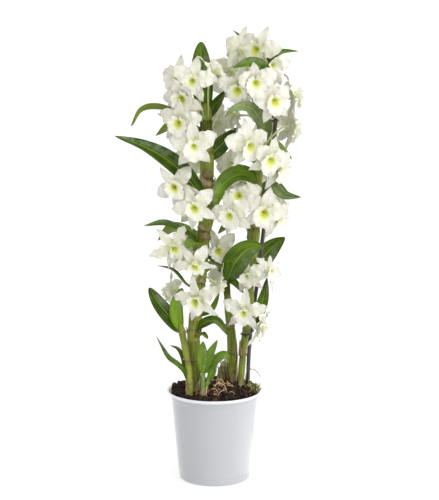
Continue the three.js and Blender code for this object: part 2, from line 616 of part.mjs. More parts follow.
// The lip: a flared cup with the column standing in its throat.
function lipSurface(guard) {
  const even = (value) => new Array(5).fill(value);
  const radii = LIP_MOUTH.map(([radius]) => radius + guard);
  const heights = LIP_MOUTH.map(([, height]) => height - guard);
  const rings = [
    ringOf(even(HUB_RADIUS), even(HUB_THICKNESS / 2)),
    ringOf(even(LIP_THROAT.radius + guard), even(LIP_THROAT.height)),
    ringOf(radii, heights),
    ringOf(radii.map((r) => r - 0.4), heights.map((h) => h + LIP_THICKNESS + 2 * guard)),
    ringOf(even(LIP_THROAT.radius - LIP_THICKNESS), even(LIP_THROAT.height + 0.5)),
    ringOf(even(HUB_RADIUS - 1.6), even(HUB_THICKNESS / 2 + 1.4)),
  ];
  const faces = [];
  for (let i = 0; i < rings.length - 1; i++) {
    for (let k = 0; k < 5; k++) {
      const turn = (k + 1) % 5;
      const [here, next] = [i * 5, (i + 1) * 5];
      faces.push([here + k, here + turn, next + turn], [here + k, next + turn, next + k]);
    }
  }
  const points = [...rings.flat(), new THREE.Vector3(0, 0.8, COLUMN_HEIGHT)];
  const last = (rings.length - 1) * 5;
  for (let k = 0; k < 5; k++) faces.push([last + k, last + ((k + 1) % 5), points.length - 1]);
  return { points, faces };
}

function hubBack(height) {
  const points = ringOf(new Array(5).fill(HUB_RADIUS), new Array(5).fill(height));
  return { points, faces: [1, 2, 3].map((k) => [0, k + 1, k]) };
}

function joinSurfaces(surfaces, matrix) {
  const points = [];
  const faces = [];
  for (const surface of surfaces) {
    const start = points.length;
    points.push(...surface.points);
    faces.push(...surface.faces.map((face) => face.map((i) => i + start)));
  }
  return solidOf(geometryOf(points, faces).applyMatrix4(matrix));
}

function lipSolid(matrix, guard) {
  return joinSurfaces([lipSurface(guard), hubBack(HUB_THICKNESS / 2)], matrix);
}

// A whole bloom as one closed surface: hub, lip, sepals and petals.
function buildBloom(poses, matrix) {
  const tepals = TEPALS.map((tepal, k) => blade(tepalRows(tepal, poses[k].bend, poses[k].reach, 0), false));
  return joinSurfaces([lipSurface(0), hubBack(-HUB_THICKNESS / 2), ...tepals], matrix);
}

// ---------------------------------------------------------------- keeping pieces clear

const placed = [];               // solids that later pieces keep clear of

function place(owner, solid) {
  placed.push({ owner, solid, box: solid.boundingBox() });
}

function boxesMeet(a, b) {
  return [0, 1, 2].every((axis) => a.min[axis] <= b.max[axis] && b.min[axis] <= a.max[axis]);
}

function touching(owner, solid) {
  const box = solid.boundingBox();
  return placed
    .filter((other) => other.owner !== owner && boxesMeet(box, other.box))
    .filter((other) => !solid.intersect(other.solid).isEmpty())
    .map((other) => other.owner);
}

// ---------------------------------------------------------------- flower stalks

function nearestNode(cane, bloom) {
  const curve = stemCurve(CANES[cane].points, STEM_DEPTH);
  const wanted = bloom[3] - 14;
  return caneNodes(curve)
    .map((share) => curve.getPointAt(share))
    .reduce((best, point) => (Math.abs(point.z - wanted) < Math.abs(best.z - wanted) ? point : best));
}

function pedicelCentres(bloom, bow) {
  const [cane, x, y, z, , , , size] = bloom;
  const facing = facingOf(bloom);
  const start = nearestNode(cane, bloom);
  const end = new THREE.Vector3(x, y, z).addScaledVector(facing, -(HUB_THICKNESS / 2) * size - CLEARANCE);
  const across = new THREE.Vector3(end.y - start.y, start.x - end.x, 0).normalize();
  const outward = end.clone().sub(start).setZ(0).normalize();
  const first = start.clone().addScaledVector(outward, 14).addScaledVector(across, bow);
  first.z += 9;
  const second = end.clone().addScaledVector(facing, -13).addScaledVector(across, bow);
  return new THREE.CubicBezierCurve3(start, first, second, end).getPoints(PEDICEL_STEPS);
}

function buildPedicel(bloom, bow, guard) {
  const centres = pedicelCentres(bloom, bow);
  const radii = centres.map((_, i) => {
    const share = i / PEDICEL_STEPS;
    return THREE.MathUtils.lerp(PEDICEL_RADIUS, OVARY_RADIUS, share) + guard;
  });
  return solidOf(bar(centres, radii, PEDICEL_SIDES, { endTangent: facingOf(bloom) }));
}

// ---------------------------------------------------------------- stake, clip and ties

function stakeCurve() {
  return new THREE.CatmullRomCurve3(STAKE_POINTS.map(vector));
}

function buildStake(extra = 0) {
  const curve = stakeCurve();
  const centres = curve.getPoints(7);
  centres[0].z -= extra;
  return solidOf(bar(centres, centres.map(() => STAKE_RADIUS + extra), 8));
}

function buildClip() {
  const top = vector(STAKE_POINTS.at(-1));
  const slope = CLIP_TILT * DEGREE;
  const axis = new THREE.Vector3(Math.cos(slope), 0, Math.sin(slope));
  const centre = top.clone();
  centre.z += CLEARANCE + CLIP_RADIUS + STAKE_RADIUS * Math.tan(slope) + CLIP_RELIEF;
  const half = CLIP_LENGTH / 2;
  const centres = [-half, half].map((along) => centre.clone().addScaledVector(axis, along));
  return solidOf(bar(centres, [CLIP_RADIUS, CLIP_RADIUS], 8));
}

function pointAtHeight(curve, height) {
  const samples = curve.getPoints(200);
  return samples.reduce((best, p) => (Math.abs(p.z - height) < Math.abs(best.z - height) ? p : best));
}

// A wire loop round the right cane and the stake.
function buildTie({ height, caneGrip, stakeGrip }) {
  const cloud = [];
  for (const [curve, grip] of [[caneCurves.cane_right_tall, caneGrip], [stakeCurve(), stakeGrip]]) {
    const centre = pointAtHeight(curve, height);
    const reach = (grip + CLEARANCE + TIE_RADIUS) / Math.cos(Math.PI / GRIP_STEPS);
    for (let k = 0; k < GRIP_STEPS; k++) {
      const angle = (2 * Math.PI * k) / GRIP_STEPS;
      cloud.push(centre.clone().add(new THREE.Vector3(reach * Math.cos(angle), reach * Math.sin(angle), 0)));
    }
  }
  const outline = hullOutline(cloud);
  const radii = outline.map(() => TIE_RADIUS);
  return solidOf(bar(outline, radii, 4, { loopNormal: new THREE.Vector3(0, 0, 1) }));
}

// The outline round a cloud of points, seen from above, counterclockwise.
function hullOutline(cloud) {
  const sorted = [...cloud].sort((a, b) => a.x - b.x || a.y - b.y);
  const half = (points) => {
    const chain = [];
    for (const p of points) {
      while (chain.length > 1) {
        const [a, b] = [chain.at(-2), chain.at(-1)];
        if ((b.x - a.x) * (p.y - a.y) - (b.y - a.y) * (p.x - a.x) > 0) break;
        chain.pop();
      }
      chain.push(p);
    }
    return chain.slice(0, -1);
  };
  return [...half(sorted), ...half([...sorted].reverse())];
}

// ---------------------------------------------------------------- roots

// Each root leaves the crown, arches over the surface and dips back into it.
function buildRoots(extra = 0) {
  const [crownX, crownY] = ROOT_CROWN;
  const roots = ROOT_ENDS.map(([x, y, arch], k) => {
    const centres = [];
    for (let i = 0; i <= ROOT_STEPS; i++) {
      const share = i / ROOT_STEPS;
      const bulge = Math.sin(Math.PI * share);
      const sway = ROOT_SWAY * bulge * (k % 2 ? 1 : -1);
      const px = THREE.MathUtils.lerp(crownX, x, share) + sway;
      const py = THREE.MathUtils.lerp(crownY, y, share) + sway * 0.6;
      centres.push(new THREE.Vector3(px, py, soilHeight(px, py) - ROOT_DIP + (ROOT_DIP + arch) * bulge));
    }
    return solidOf(bar(centres, centres.map(() => ROOT_RADIUS + extra), 4));
  });
  return fuse(roots);
}

// ---------------------------------------------------------------- materials

function material(color, roughness, metalness = 0) {
  return new THREE.MeshStandardMaterial({ color, roughness, metalness });
}

const MATERIALS = {
  pot: material(0xe4e6ea, 0.3),
  soil: material(0x3a2a1e, 0.95),
  cane: material(0x7d8f3a, 0.6),
  shoot: material(0x6fa035, 0.5),
  bloom: material(0xf6f5ef, 0.55),
  oldBulb: material(0x9b8f6c, 0.9),
  root: material(0xb4925c, 0.85),
  stake: material(0x3b3836, 0.5),
  wire: material(0x1e1c1b, 0.45),
};

// ---------------------------------------------------------------- assembly

const potted = new THREE.Group();
const addPiece = (name, solid, finish) => potted.add(meshOf(name, solid, finish));

// The hardware and the bare canes with their leaves stand where they are placed.
const caneCurves = {};
const greens = {};
for (const [name, cane] of Object.entries(CANES)) {
  caneCurves[name] = stemCurve(cane.points, STEM_DEPTH);
  const leaves = LEAVES.filter(([owner]) => owner === name)
    .map(([, ...leaf]) => buildLeaf(...leaf));
  greens[name] = fuse([buildCane(cane), ...leaves]);
}
const shoot = fuse([
  ...SHOOT_STEMS.map((stem) => buildStem(stem, STEM_DEPTH - 8, 6)),
  ...SHOOT_LEAVES.map((leaf) => buildLeaf(...leaf)),
]);
const oldBulb = buildStem(OLD_BULB, 10, 8);
const stake = buildStake();
const clip = buildClip();
const roots = buildRoots();
const upperTie = buildTie(UPPER_TIE);
const lowerTie = buildTie(LOWER_TIE);

let soil = buildSoilBlock();
for (const cane of Object.values(CANES)) soil = soil.subtract(buildCane(cane, CLEARANCE));
for (const stem of SHOOT_STEMS) soil = soil.subtract(buildStem(stem, STEM_DEPTH - 8, 6, CLEARANCE));
soil = soil.subtract(buildStem(OLD_BULB, 10, 8, CLEARANCE));
soil = soil.subtract(buildStake(CLEARANCE));
soil = soil.subtract(buildRoots(CLEARANCE));
const pot = buildPot();

for (const [name, green] of Object.entries(greens)) place(name, green);
place('young_shoot', shoot);
place('old_bulb', oldBulb);
place('support_stake', stake);
place('stake_clip', clip);
place('upper_tie', upperTie);
place('lower_tie', lowerTie);
place('surface_roots', roots);
place('growing_medium', soil);
place('pot', pot);

// Then the heart of each bloom, the stalks, and last the sepals and petals, bent clear.
const bloomName = (k) => `bloom_${String(k + 1).padStart(2, '0')}`;
const hearts = BLOOMS.map((bloom, k) => {
  const matrix = bloomMatrix(bloom);
  const lip = lipSolid(matrix, 0);
  place(bloomName(k), lip);
  return { matrix, lip };
});

for (const bloom of BLOOMS) {
  const cane = bloom[0];
  const bow = PEDICEL_BOWS.find((side) => touching(cane, buildPedicel(bloom, side, FLOWER_GUARD)).length === 0);
  if (bow === undefined) throw new Error(`no clear way for the stalk of the bloom at ${bloom.slice(1, 4)}`);
  const pedicel = buildPedicel(bloom, bow, 0);
  place(cane, pedicel);
  greens[cane] = greens[cane].add(pedicel);
}

hearts.forEach((heart, k) => {
  const [, , , , , , , , cup = 0] = BLOOMS[k];
  heart.poses = TEPALS.map((tepal) => {
    for (const reach of TEPAL_REACHES) {
      for (const bend of TEPAL_BENDS.map((aside) => cup + aside)) {
        const guarded = tepalSolid(tepal, bend, reach, FLOWER_GUARD, heart.matrix);
        const ownLip = tepalSolid(tepal, bend, reach, 0, heart.matrix).intersect(heart.lip);
        if (ownLip.volume() < 0.01 && touching(bloomName(k), guarded).length === 0) {
          place(bloomName(k), tepalSolid(tepal, bend, reach, 0, heart.matrix));
          return { bend, reach };
        }
      }
    }
    throw new Error(`no clear place for a tepal of ${bloomName(k)}`);
  });
});

addPiece('pot', pot, MATERIALS.pot);
addPiece('growing_medium', soil, MATERIALS.soil);
for (const [name, green] of Object.entries(greens)) addPiece(name, green, MATERIALS.cane);
addPiece('young_shoot', shoot, MATERIALS.shoot);
addPiece('old_bulb', oldBulb, MATERIALS.oldBulb);
addPiece('surface_roots', roots, MATERIALS.root);
addPiece('support_stake', stake, MATERIALS.stake);
addPiece('stake_clip', clip, MATERIALS.stake);
addPiece('upper_tie', upperTie, MATERIALS.wire);
addPiece('lower_tie', lowerTie, MATERIALS.wire);
hearts.forEach(({ matrix, poses }, k) => {
  addPiece(bloomName(k), buildBloom(poses, matrix), MATERIALS.bloom);
});

export default potted;
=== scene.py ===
"""Looks of a dendrobium orchid in its white pot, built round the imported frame.

Tables and shapes are worked out in millimetres, as the frame's source has them, and every mesh is
written in metres. The plant's front faces -Y.
"""

import math

import bpy
import numpy as np
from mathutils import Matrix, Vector, noise


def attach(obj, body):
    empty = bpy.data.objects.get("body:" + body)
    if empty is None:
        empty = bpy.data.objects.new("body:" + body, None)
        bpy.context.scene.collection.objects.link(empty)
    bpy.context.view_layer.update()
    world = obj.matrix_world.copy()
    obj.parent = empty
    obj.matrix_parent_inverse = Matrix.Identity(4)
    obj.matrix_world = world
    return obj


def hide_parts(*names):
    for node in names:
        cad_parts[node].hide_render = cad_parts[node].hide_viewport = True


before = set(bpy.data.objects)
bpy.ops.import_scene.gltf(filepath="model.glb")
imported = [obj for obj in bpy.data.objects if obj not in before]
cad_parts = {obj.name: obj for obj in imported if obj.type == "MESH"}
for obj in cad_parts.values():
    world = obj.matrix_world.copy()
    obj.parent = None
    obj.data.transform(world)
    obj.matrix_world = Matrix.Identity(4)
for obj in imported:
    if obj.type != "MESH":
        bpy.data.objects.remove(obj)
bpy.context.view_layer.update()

MM = 0.001
rng = np.random.default_rng(11)

# ---------------- camera, light and floor

CAMERA_PLACE = (0.00634, -2.3, 0.745)
CAMERA_PITCH = 11.103            # degrees below level
CAMERA_LENS = 135.56
CAMERA_SENSOR = 36
CAMERA_REACH = 50                # how far it sees, in metres
BRIGHT_SIDE = (0.8, 0.45, 0.4)   # the way to the room's bright side
ROOM_LIGHT = (0.32, 0.92)        # its light on the dim side and on the bright side
BACKDROP = 1.05
SUNS = [                         # name, way that the light goes, strength, spread in degrees
    ("key", (-0.62, 0.8, -0.8), 1.5, 50),
    ("top", (0.05, -0.15, -1), 1.0, 90),
]
PANEL_PLACE = (1.45, -0.45, 0.45)   # a tall soft panel of light at the right, in metres
PANEL_AIM = (0, 0, 0.3)
PANEL_SIZE = (1.1, 1.3)
PANEL_POWER = 1.5
FLOOR_HALF = 30
TABLE_LIGHT = 0.72
GLOW = 0.35                      # how much brighter the table is beside the pot, at the right
GLOW_SIDES = [                   # its four soft borders: the way across each, and where it starts and ends
    ((1, 0), 0.055, 0.065), ((-1, 0), -0.3, -0.2), ((0.36, 1), -0.03, -0.022), ((0, -1), -0.15, -0.05),
]


def add_object(name, data):
    """Puts a camera, lamp or mesh into the scene."""
    made = bpy.data.objects.new(name, data)
    bpy.context.scene.collection.objects.link(made)
    return made


def add_camera():
    data = bpy.data.cameras.new("view")
    data.lens = CAMERA_LENS
    data.sensor_width = CAMERA_SENSOR
    data.clip_end = CAMERA_REACH
    camera = add_object("view", data)
    camera.location = CAMERA_PLACE
    camera.rotation_euler = (math.radians(90 - CAMERA_PITCH), 0, 0)
    bpy.context.scene.camera = camera


def add_lamp(name, kind, strength, way):
    """A lamp whose light goes the given way."""
    data = bpy.data.lights.new(name, kind)
    data.energy = strength
    lamp = add_object(name, data)
    lamp.rotation_euler = Vector(way).to_track_quat("-Z", "Y").to_euler()
    return lamp


def add_studio():
    """A white room with a bright side, and soft lamps at the right and above."""
    world = bpy.data.worlds.new("studio")
    world.use_nodes = True
    room = Nodes(world.node_tree)
    seen_way = room.node("ShaderNodeTexCoord").outputs["Generated"]
    bright_way = Vector(BRIGHT_SIDE).normalized()
    side = room.node("ShaderNodeVectorMath", seen_way, bright_way, operation="DOT_PRODUCT").outputs["Value"]
    light = room.node("ShaderNodeMapRange", side, -1, 1, *ROOM_LIGHT).outputs[0]
    seen = room.node("ShaderNodeLightPath").outputs["Is Camera Ray"]
    shown = room.node("ShaderNodeMapRange", seen, 0, 1, light, BACKDROP).outputs[0]
    background = world.node_tree.nodes["Background"]
    room.put(background.inputs["Color"], (1, 1, 1, 1))
    room.put(background.inputs["Strength"], shown)
    bpy.context.scene.world = world
    bpy.context.scene.view_settings.view_transform = "Standard"
    for name, way, strength, spread in SUNS:
        add_lamp(name, "SUN", strength, way).data.angle = math.radians(spread)
    panel = add_lamp("panel", "AREA", PANEL_POWER, Vector(PANEL_AIM) - Vector(PANEL_PLACE))
    panel.location = PANEL_PLACE
    panel.data.shape = "RECTANGLE"
    panel.data.size, panel.data.size_y = PANEL_SIZE


def add_floor():
    mesh = bpy.data.meshes.new("studio_floor")
    corners = [(x * FLOOR_HALF, y * FLOOR_HALF, 0) for x, y in ((-1, -1), (1, -1), (1, 1), (-1, 1))]
    mesh.from_pydata(corners, [], [(0, 1, 2, 3)])
    mesh.materials.append(floor_material())
    add_object("studio_floor", mesh)


# ---------------- layout, as the frame has it

STEM_DEPTH = 26                  # how far stems reach below the surface
INTERNODE = 33                   # distance between the node rings of a cane

# Each cane: its radii at even steps, how pale it is at its foot and at its top, and its centre line.
CANES = {
    "cane_left_tall": {
        "radii": [6.2, 7.6, 7.6, 8.4, 8.8, 8.2, 6], "tones": [0.05, 0.6],
        "points": [
            [-24, -21, 116], [-25, -20, 159], [-26, -19, 185], [-19, -16, 252], [-14, -15, 315],
            [-8, -15, 345], [-9, -15, 384], [-10, -15, 450], [-11, -15, 478],
        ],
    },
    "cane_left_short": {
        "radii": [3.4, 4.1, 4, 3.4], "tones": [0.75, 0.5],
        "points": [[-31, -32, 119], [-32, -32, 147], [-37, -31, 179], [-43, -31, 211]],
    },
    "cane_middle": {
        "radii": [5, 5.7, 5.6, 4.6, 3.5], "tones": [0.35, 0.1],
        "points": [[23, 14, 118], [22, 13, 156], [21, 12, 186], [18, 10, 211], [14, 10, 262]],
    },
    "cane_right_tall": {
        "radii": [3.6, 4.3, 4.4, 5.6, 6.4, 5.2, 4.4], "tones": [0.35, 0.55],
        "points": [
            [33, -1, 116], [37, 0, 172], [45, 0, 222], [44, 0, 247], [46, 0, 275],
            [51, 0, 319], [53, 0, 381], [57, 0, 432], [58, 0, 486],
        ],
    },
}
LEFT, SHORT, MIDDLE, RIGHT = CANES    # their names

ACUTE = [0.4, 0.75]              # a leaf's outline: where it is widest, and how pointed its tip is
BLUNT = [0.45, 0.5]
BROAD = [0.55, 0.65]
FRONT = [0, -1, 0.25]            # the way that a leaf's upper face looks
UP = [0, -0.25, 1]
UP_FRONT = [0, -0.8, 0.7]
BACK = [0, 1, 0.4]
DRAWN = None                     # a tone that is drawn at random
SHEEN_GREY = 2                         # the finish of leaves painted paler and greyer all over, a painted sheen over their green

# Leaves: [width, direction that the upper face looks, twist in degrees, outline, how light, midrib],
# and their finish where it isn't the plain green.
LEAVES = {
    LEFT: [
        [27, FRONT, 0, BLUNT, 0.4, [[-11, -14, 468], [-15, -8, 500], [-16, -6, 528], [-16, -8, 553]]],
        [17, UP, 64, BROAD, 0.2,
         [[-11, -15, 458], [-39, -24, 466], [-66, -34, 475], [-88, -44, 473], [-100, -50, 455]]],
        [7, UP, 0, ACUTE, DRAWN, [[-10, -15, 442], [-44, -18, 451], [-70, -22, 468]]],
        [25, UP_FRONT, 0, ACUTE, 0.22,
         [[-8, -15, 350], [-20, -26, 371], [-46, -40, 404], [-82, -46, 429], [-120, -48, 443]]],
        [13, FRONT, 0, BLUNT, 0.1, [[-11, -15, 466], [-10, -10, 480], [-5, -6, 500]]],
        [13, FRONT, 0, ACUTE, 0.15, [[-10, -15, 458], [0, -8, 474], [15, -2, 494]]],
        [21, FRONT, 0, ACUTE, 0.1, [[-10, -15, 408], [2, -5, 420], [15, 3, 432], [28, 8, 446]]],
        [8, UP_FRONT, 0, ACUTE, DRAWN, [[-10, -15, 438], [-20, -16, 447], [-27, -16, 453]]],
        [12, UP, -40, ACUTE, DRAWN, [[-15, -15, 304], [-30, -22, 316], [-60, -30, 333], [-86, -36, 331]]],
        [22, UP, 0, BLUNT, 0.95, [[-16, -15, 294], [-23, -30, 309], [-34, -46, 305]]],
        [14, FRONT, 0, ACUTE, DRAWN, [[-17, -15, 292], [-5, -8, 290], [6, -3, 276]]],
        [8, UP, 0, ACUTE, 0.1, [[-19, -15, 246], [-34, -26, 256], [-52, -32, 276], [-70, -34, 281]]],
        [13, UP_FRONT, 0, ACUTE, 0.15, [[-25, -18, 194], [-12, -34, 208], [2, -40, 213], [19, -40, 192]]],
        [8, FRONT, 0, ACUTE, DRAWN, [[-23, -18, 214], [-4, -26, 224], [7, -22, 246]]],
        [11, UP, 0, BLUNT, DRAWN, [[-25, -19, 182], [-15, -32, 194], [-8, -36, 189]]],
        [20, BACK, 0, ACUTE, DRAWN, [[-9, -15, 414], [-26, 10, 436], [-50, 36, 446], [-74, 52, 430]]],
        [20, BACK, 0, ACUTE, DRAWN, [[-16, -15, 292], [-32, 12, 312], [-54, 36, 314], [-72, 50, 296]]],
    ],
    SHORT: [
        [19, FRONT, 0, BLUNT, 0.1, [[-41, -31, 196], [-54, -36, 215], [-69, -40, 236], [-80, -43, 255]]],
        [17, FRONT, 0, BLUNT, 0.95, [[-42, -31, 200], [-46, -38, 216], [-46, -45, 236], [-39, -50, 256]]],
        [7, UP_FRONT, 0, ACUTE, DRAWN,
         [[-31, -32, 128], [-37, -37, 147], [-46, -41, 158], [-56, -45, 167],
          [-65, -51, 184], [-71, -54, 196]]],
        [7, UP_FRONT, 0, ACUTE, DRAWN,
         [[-32, -32, 134], [-36, -33, 152], [-40, -30, 166], [-46, -26, 174], [-56, -22, 177]]],
    ],
    MIDDLE: [
        [31, FRONT, 0, BROAD, 0.38,
         [[15, 9, 250], [20, -8, 267], [28, -24, 286], [41, -35, 301], [60, -41, 307]]],
        [9, UP_FRONT, 0, ACUTE, DRAWN, [[15, 9, 254], [24, -1, 253], [37, -9, 240]]],
        [9, UP_FRONT, 0, ACUTE, DRAWN, [[14, 9, 258], [8, 2, 266], [1, -3, 266]]],
        [17, BACK, 0, ACUTE, DRAWN, [[15, 10, 250], [6, 32, 264], [-8, 50, 262], [-20, 60, 244]]],
    ],
    RIGHT: [
        [24, UP_FRONT, 0, ACUTE, 0.6,
         [[53, 0, 372], [42, -14, 389], [24, -26, 391], [8, -40, 379], [0, -50, 352]]],
        [12, UP_FRONT, 0, ACUTE, 0.3,
         [[58, 0, 482], [59, -14, 510], [63, -24, 530], [80, -28, 542], [102, -24, 543]]],
        [21, FRONT, 0, ACUTE, 0.3,
         [[58, 0, 482], [59, -24, 508], [54, -48, 527], [41, -60, 533], [22, -66, 527]]],
        [10, FRONT, 0, ACUTE, DRAWN, [[58, 0, 484], [56, 14, 514], [44, 22, 545], [23, 20, 565]]],
        [19, FRONT, 0, ACUTE, 0.38,
         [[57, 0, 424], [62, -12, 446], [53, -36, 467], [37, -58, 480],
          [22, -68, 478], [13, -72, 469]], SHEEN_GREY],
        [9, UP, 0, ACUTE, DRAWN, [[53, 0, 362], [43, 5, 373], [31, 7, 379]]],
        [17, UP_FRONT, 0, ACUTE, 0.2, [[53, 0, 360], [70, 2, 374], [88, 0, 362], [107, -5, 361]], SHEEN_GREY],
        [27, FRONT, 0, BROAD, 0.3,
         [[46, 2, 252], [41, 22, 254], [54, 37, 268], [72, 40, 288], [89, 35, 303]]],
        [15, FRONT, 0, ACUTE, 0.15, [[42, 0, 196], [52, 4, 206], [61, 8, 228], [66, 8, 257]]],
        [20, BACK, 0, ACUTE, DRAWN, [[55, 0, 398], [52, 28, 412], [74, 48, 418], [98, 56, 400]]],
        [20, BACK, 0, ACUTE, DRAWN, [[50, 0, 300], [40, 26, 318], [22, 50, 320], [4, 64, 302]]],
    ],
}

# Blooms: [cane, x, y, z, azimuth, elevation, roll, size], and how much its tepals are lifted, where they are.
BLOOMS = [
    [LEFT, -43, -42, 511, -40, 5, 0, 0.98],
    [LEFT, -25, -60, 512, -8, 0, -12, 0.96],
    [LEFT, -1, -30, 514, 78, 38, 15, 1, 12],
    [LEFT, -37, -56, 491, -24, -5, 20, 0.94],
    [LEFT, -41, -61, 462, -18, 0, -6, 0.95],
    [LEFT, -25, -66, 435, 6, -5, 4, 1.04],
    [RIGHT, 29, -46, 501, -8, -12, -10, 0.98],
    [RIGHT, 49, -50, 508, 6, 5, 6, 1.02],
    [RIGHT, 54, -24, 545, -30, 10, -14, 1],
    [RIGHT, 32, -2, 543, -145, 10, 10, 0.96],
    [RIGHT, 70, -40, 485, 22, 6, 12, 0.96],
    [RIGHT, 70, 16, 522, 20, 12, -8, 0.92],
    [RIGHT, 40, -54, 434, 30, -5, 5, 1.06],
    [RIGHT, 66, -50, 416, 24, -6, -22, 0.94],
    [RIGHT, 77, -26, 401, 50, -10, 10, 1],
    [LEFT, -46, -50, 382, -26, 5, 40, 1.02],
    [RIGHT, 31, -42, 368, -18, 24, 12, 0.96],
    [LEFT, -23, -66, 360, -12, 0, 26, 1],
    [RIGHT, 21, -60, 350, -28, -5, 16, 0.96],
    [RIGHT, 60, -54, 352, 6, 0, -20, 1.02],
    [RIGHT, 76, -22, 339, 46, -10, 12, 0.98],
    [LEFT, -52, -47, 307, 25, -10, 38, 1],
    [LEFT, -24, -66, 291, -4, -26, 36, 0.98],
    [LEFT, 4, -7, 296, 4, 0, 20, 0.96],
    [RIGHT, 41, -14, 265, -12, -10, 10, 0.86],
    [RIGHT, 68, -4, 267, 50, 20, -36, 0.84],
    [LEFT, -20, -64, 245, -26, -6, 12, 1.08],
    [RIGHT, 37, -36, 224, -10, -10, -6, 0.98],
    [RIGHT, 55, -18, 200, 75, -18, 10, 0.96],
    [LEFT, -52, -6, 243, -110, -10, 0, 0.9],
    [LEFT, 1, -22, 257, 104, -30, 10, 0.92],
    [LEFT, -36, 21, 467, -150, 10, 0, 0.98],
    [LEFT, 2, 28, 452, 165, 0, 12, 1],
    [RIGHT, 28, 0, 462, -98, 0, -10, 0.94],
    [RIGHT, 22, 30, 514, -155, 12, 8, 1],
    [RIGHT, 95, 8, 486, 98, 10, 0, 0.98],
    [RIGHT, 92, 14, 446, 112, -8, 14, 1],
    [RIGHT, 18, 16, 402, -120, 8, 0, 0.96],
    [LEFT, -22, 34, 404, 178, -5, -10, 1],
    [RIGHT, 66, 44, 450, 160, 5, 10, 1],
    [LEFT, -24, 32, 344, -172, -8, 6, 0.98],
    [RIGHT, 40, 46, 366, -178, 0, -12, 1],
    [RIGHT, 66, 46, 344, 155, -10, 8, 0.96],
    [LEFT, -34, 26, 288, -162, -6, 10, 0.98],
    [LEFT, -10, 32, 506, 176, 10, -8, 1],
    [RIGHT, 62, 44, 520, 162, 14, 6, 0.98],
]

SHOOT_STEMS = [
    {"radii": [2.6, 3, 2.4], "points": [[-15, -37, 117], [-14, -37, 138], [-13, -38, 158]]},
    {"radii": [2.4, 2.6, 1.8], "points": [[-14, -38, 114], [-9, -36, 132], [-5, -32, 150]]},
]
SHOOT_LEAVES = [                 # as above, but how light they are is drawn
    [13, FRONT, 0, BROAD, [[-14, -37, 142], [-15, -40, 162], [-14, -42, 187]]],
    [12, UP_FRONT, 0, ACUTE, [[-13, -38, 148], [-6, -42, 168], [4, -46, 190]]],
    [13, UP_FRONT, 0, BLUNT, [[-13, -38, 146], [2, -42, 163], [13, -44, 170], [17, -46, 160]]],
    [8, FRONT, 0, ACUTE, [[-9, -36, 134], [-2, -38, 146], [2, -38, 162]]],
]
OLD_BULB = {
    "radii": [6.4, 8, 8.2, 7.2, 5],
    "points": [[11, 25, 112], [11, 25, 121], [12, 25, 130], [13, 26, 138], [13, 26, 143]],
}
STAKE_POINTS = [
    [41, 20, 72], [45, 20, 176], [54, 20, 249], [62, 20, 318], [69, 20, 379], [76, 20, 456],
]
STAKE_RADIUS = 2.6
# Ties: (name, height, how far from the cane's middle and from the stake's middle the wire runs).
TIES = [("upper_tie", 453, 5.5, STAKE_RADIUS), ("lower_tie", 186, 4.9, STAKE_RADIUS + 0.2)]
ROOT_CROWN = [14, 2]             # where the surface roots start
ROOT_ENDS = [[-2, -16, 4], [2, -32, 3], [31, -22, 4], [-8, 8, 5], [18, -40, 4]]    # end and arch of each

# ---------------- finer growth than the frame's

SLIM_BLOOMS = {                  # how wide a bloom's tepals and lip are, where it isn't drawn from the range
    16: 0.84, 18: 0.86, 21: 0.8, 22: 0.74, 23: 0.72, 24: 0.85, 25: 0.85, 26: 0.75, 27: 0.74, 28: 0.84,
    30: 0.8,
}
SLIM_RANGE = (0.92, 1.06)
THROATS = {                      # how wide a bloom's yellow is, from 0 to 1, where it isn't drawn
    1: 0.1, 2: 0.2, 12: 0.05, 15: 0, 21: 0.1, 26: 0, 29: 0, 36: 0,
}
# Tufts of fine roots: [middle, spread, count].
ROOT_TUFTS = [
    [[10, -8], 7, 60], [[-2, -28], 6, 22], [[31, -6], 4, 20], [[-22, -24], 4, 12],
    [[8, 22], 7, 16], [[34, 22], 6, 12], [[-24, 14], 8, 12],
]
# Single threads: [from, to, arch, radius, tone], dark and dry at 1 and like fresh straw at 0.
LOOSE_THREADS = [
    [[-2, 6, 150], [8, 2, 132], 1, 0.45, 1], [[6, 6, 150], [-3, 0, 130], 1, 0.45, 1],
    [[45, 6, 139], [58, 2, 130], 4, 0.5, 1], [[-16, -30, 126], [-2, -38, 117], 3, 0.4, 1],
    [[20, 30, 122], [34, 38, 118], 5, 0.35, 1], [[-7, -31, 136], [-10, -45, 118], 2, 0.45, 0],
    [[-4, -30, 122], [5, -34, 119], 3, 0.5, 0], [[13, -30, 121], [5, -42, 118], 2, 0.5, 0],
    [[-2, -42, 117.5], [5, -46, 116], 3, 0.55, 0], [[18, -36, 120], [27, -40, 117], 3, 0.4, 0.1],
]
MOSS_TUFT = [47, -6]             # its middle
MOSS_SPREAD = [3.4, 6]
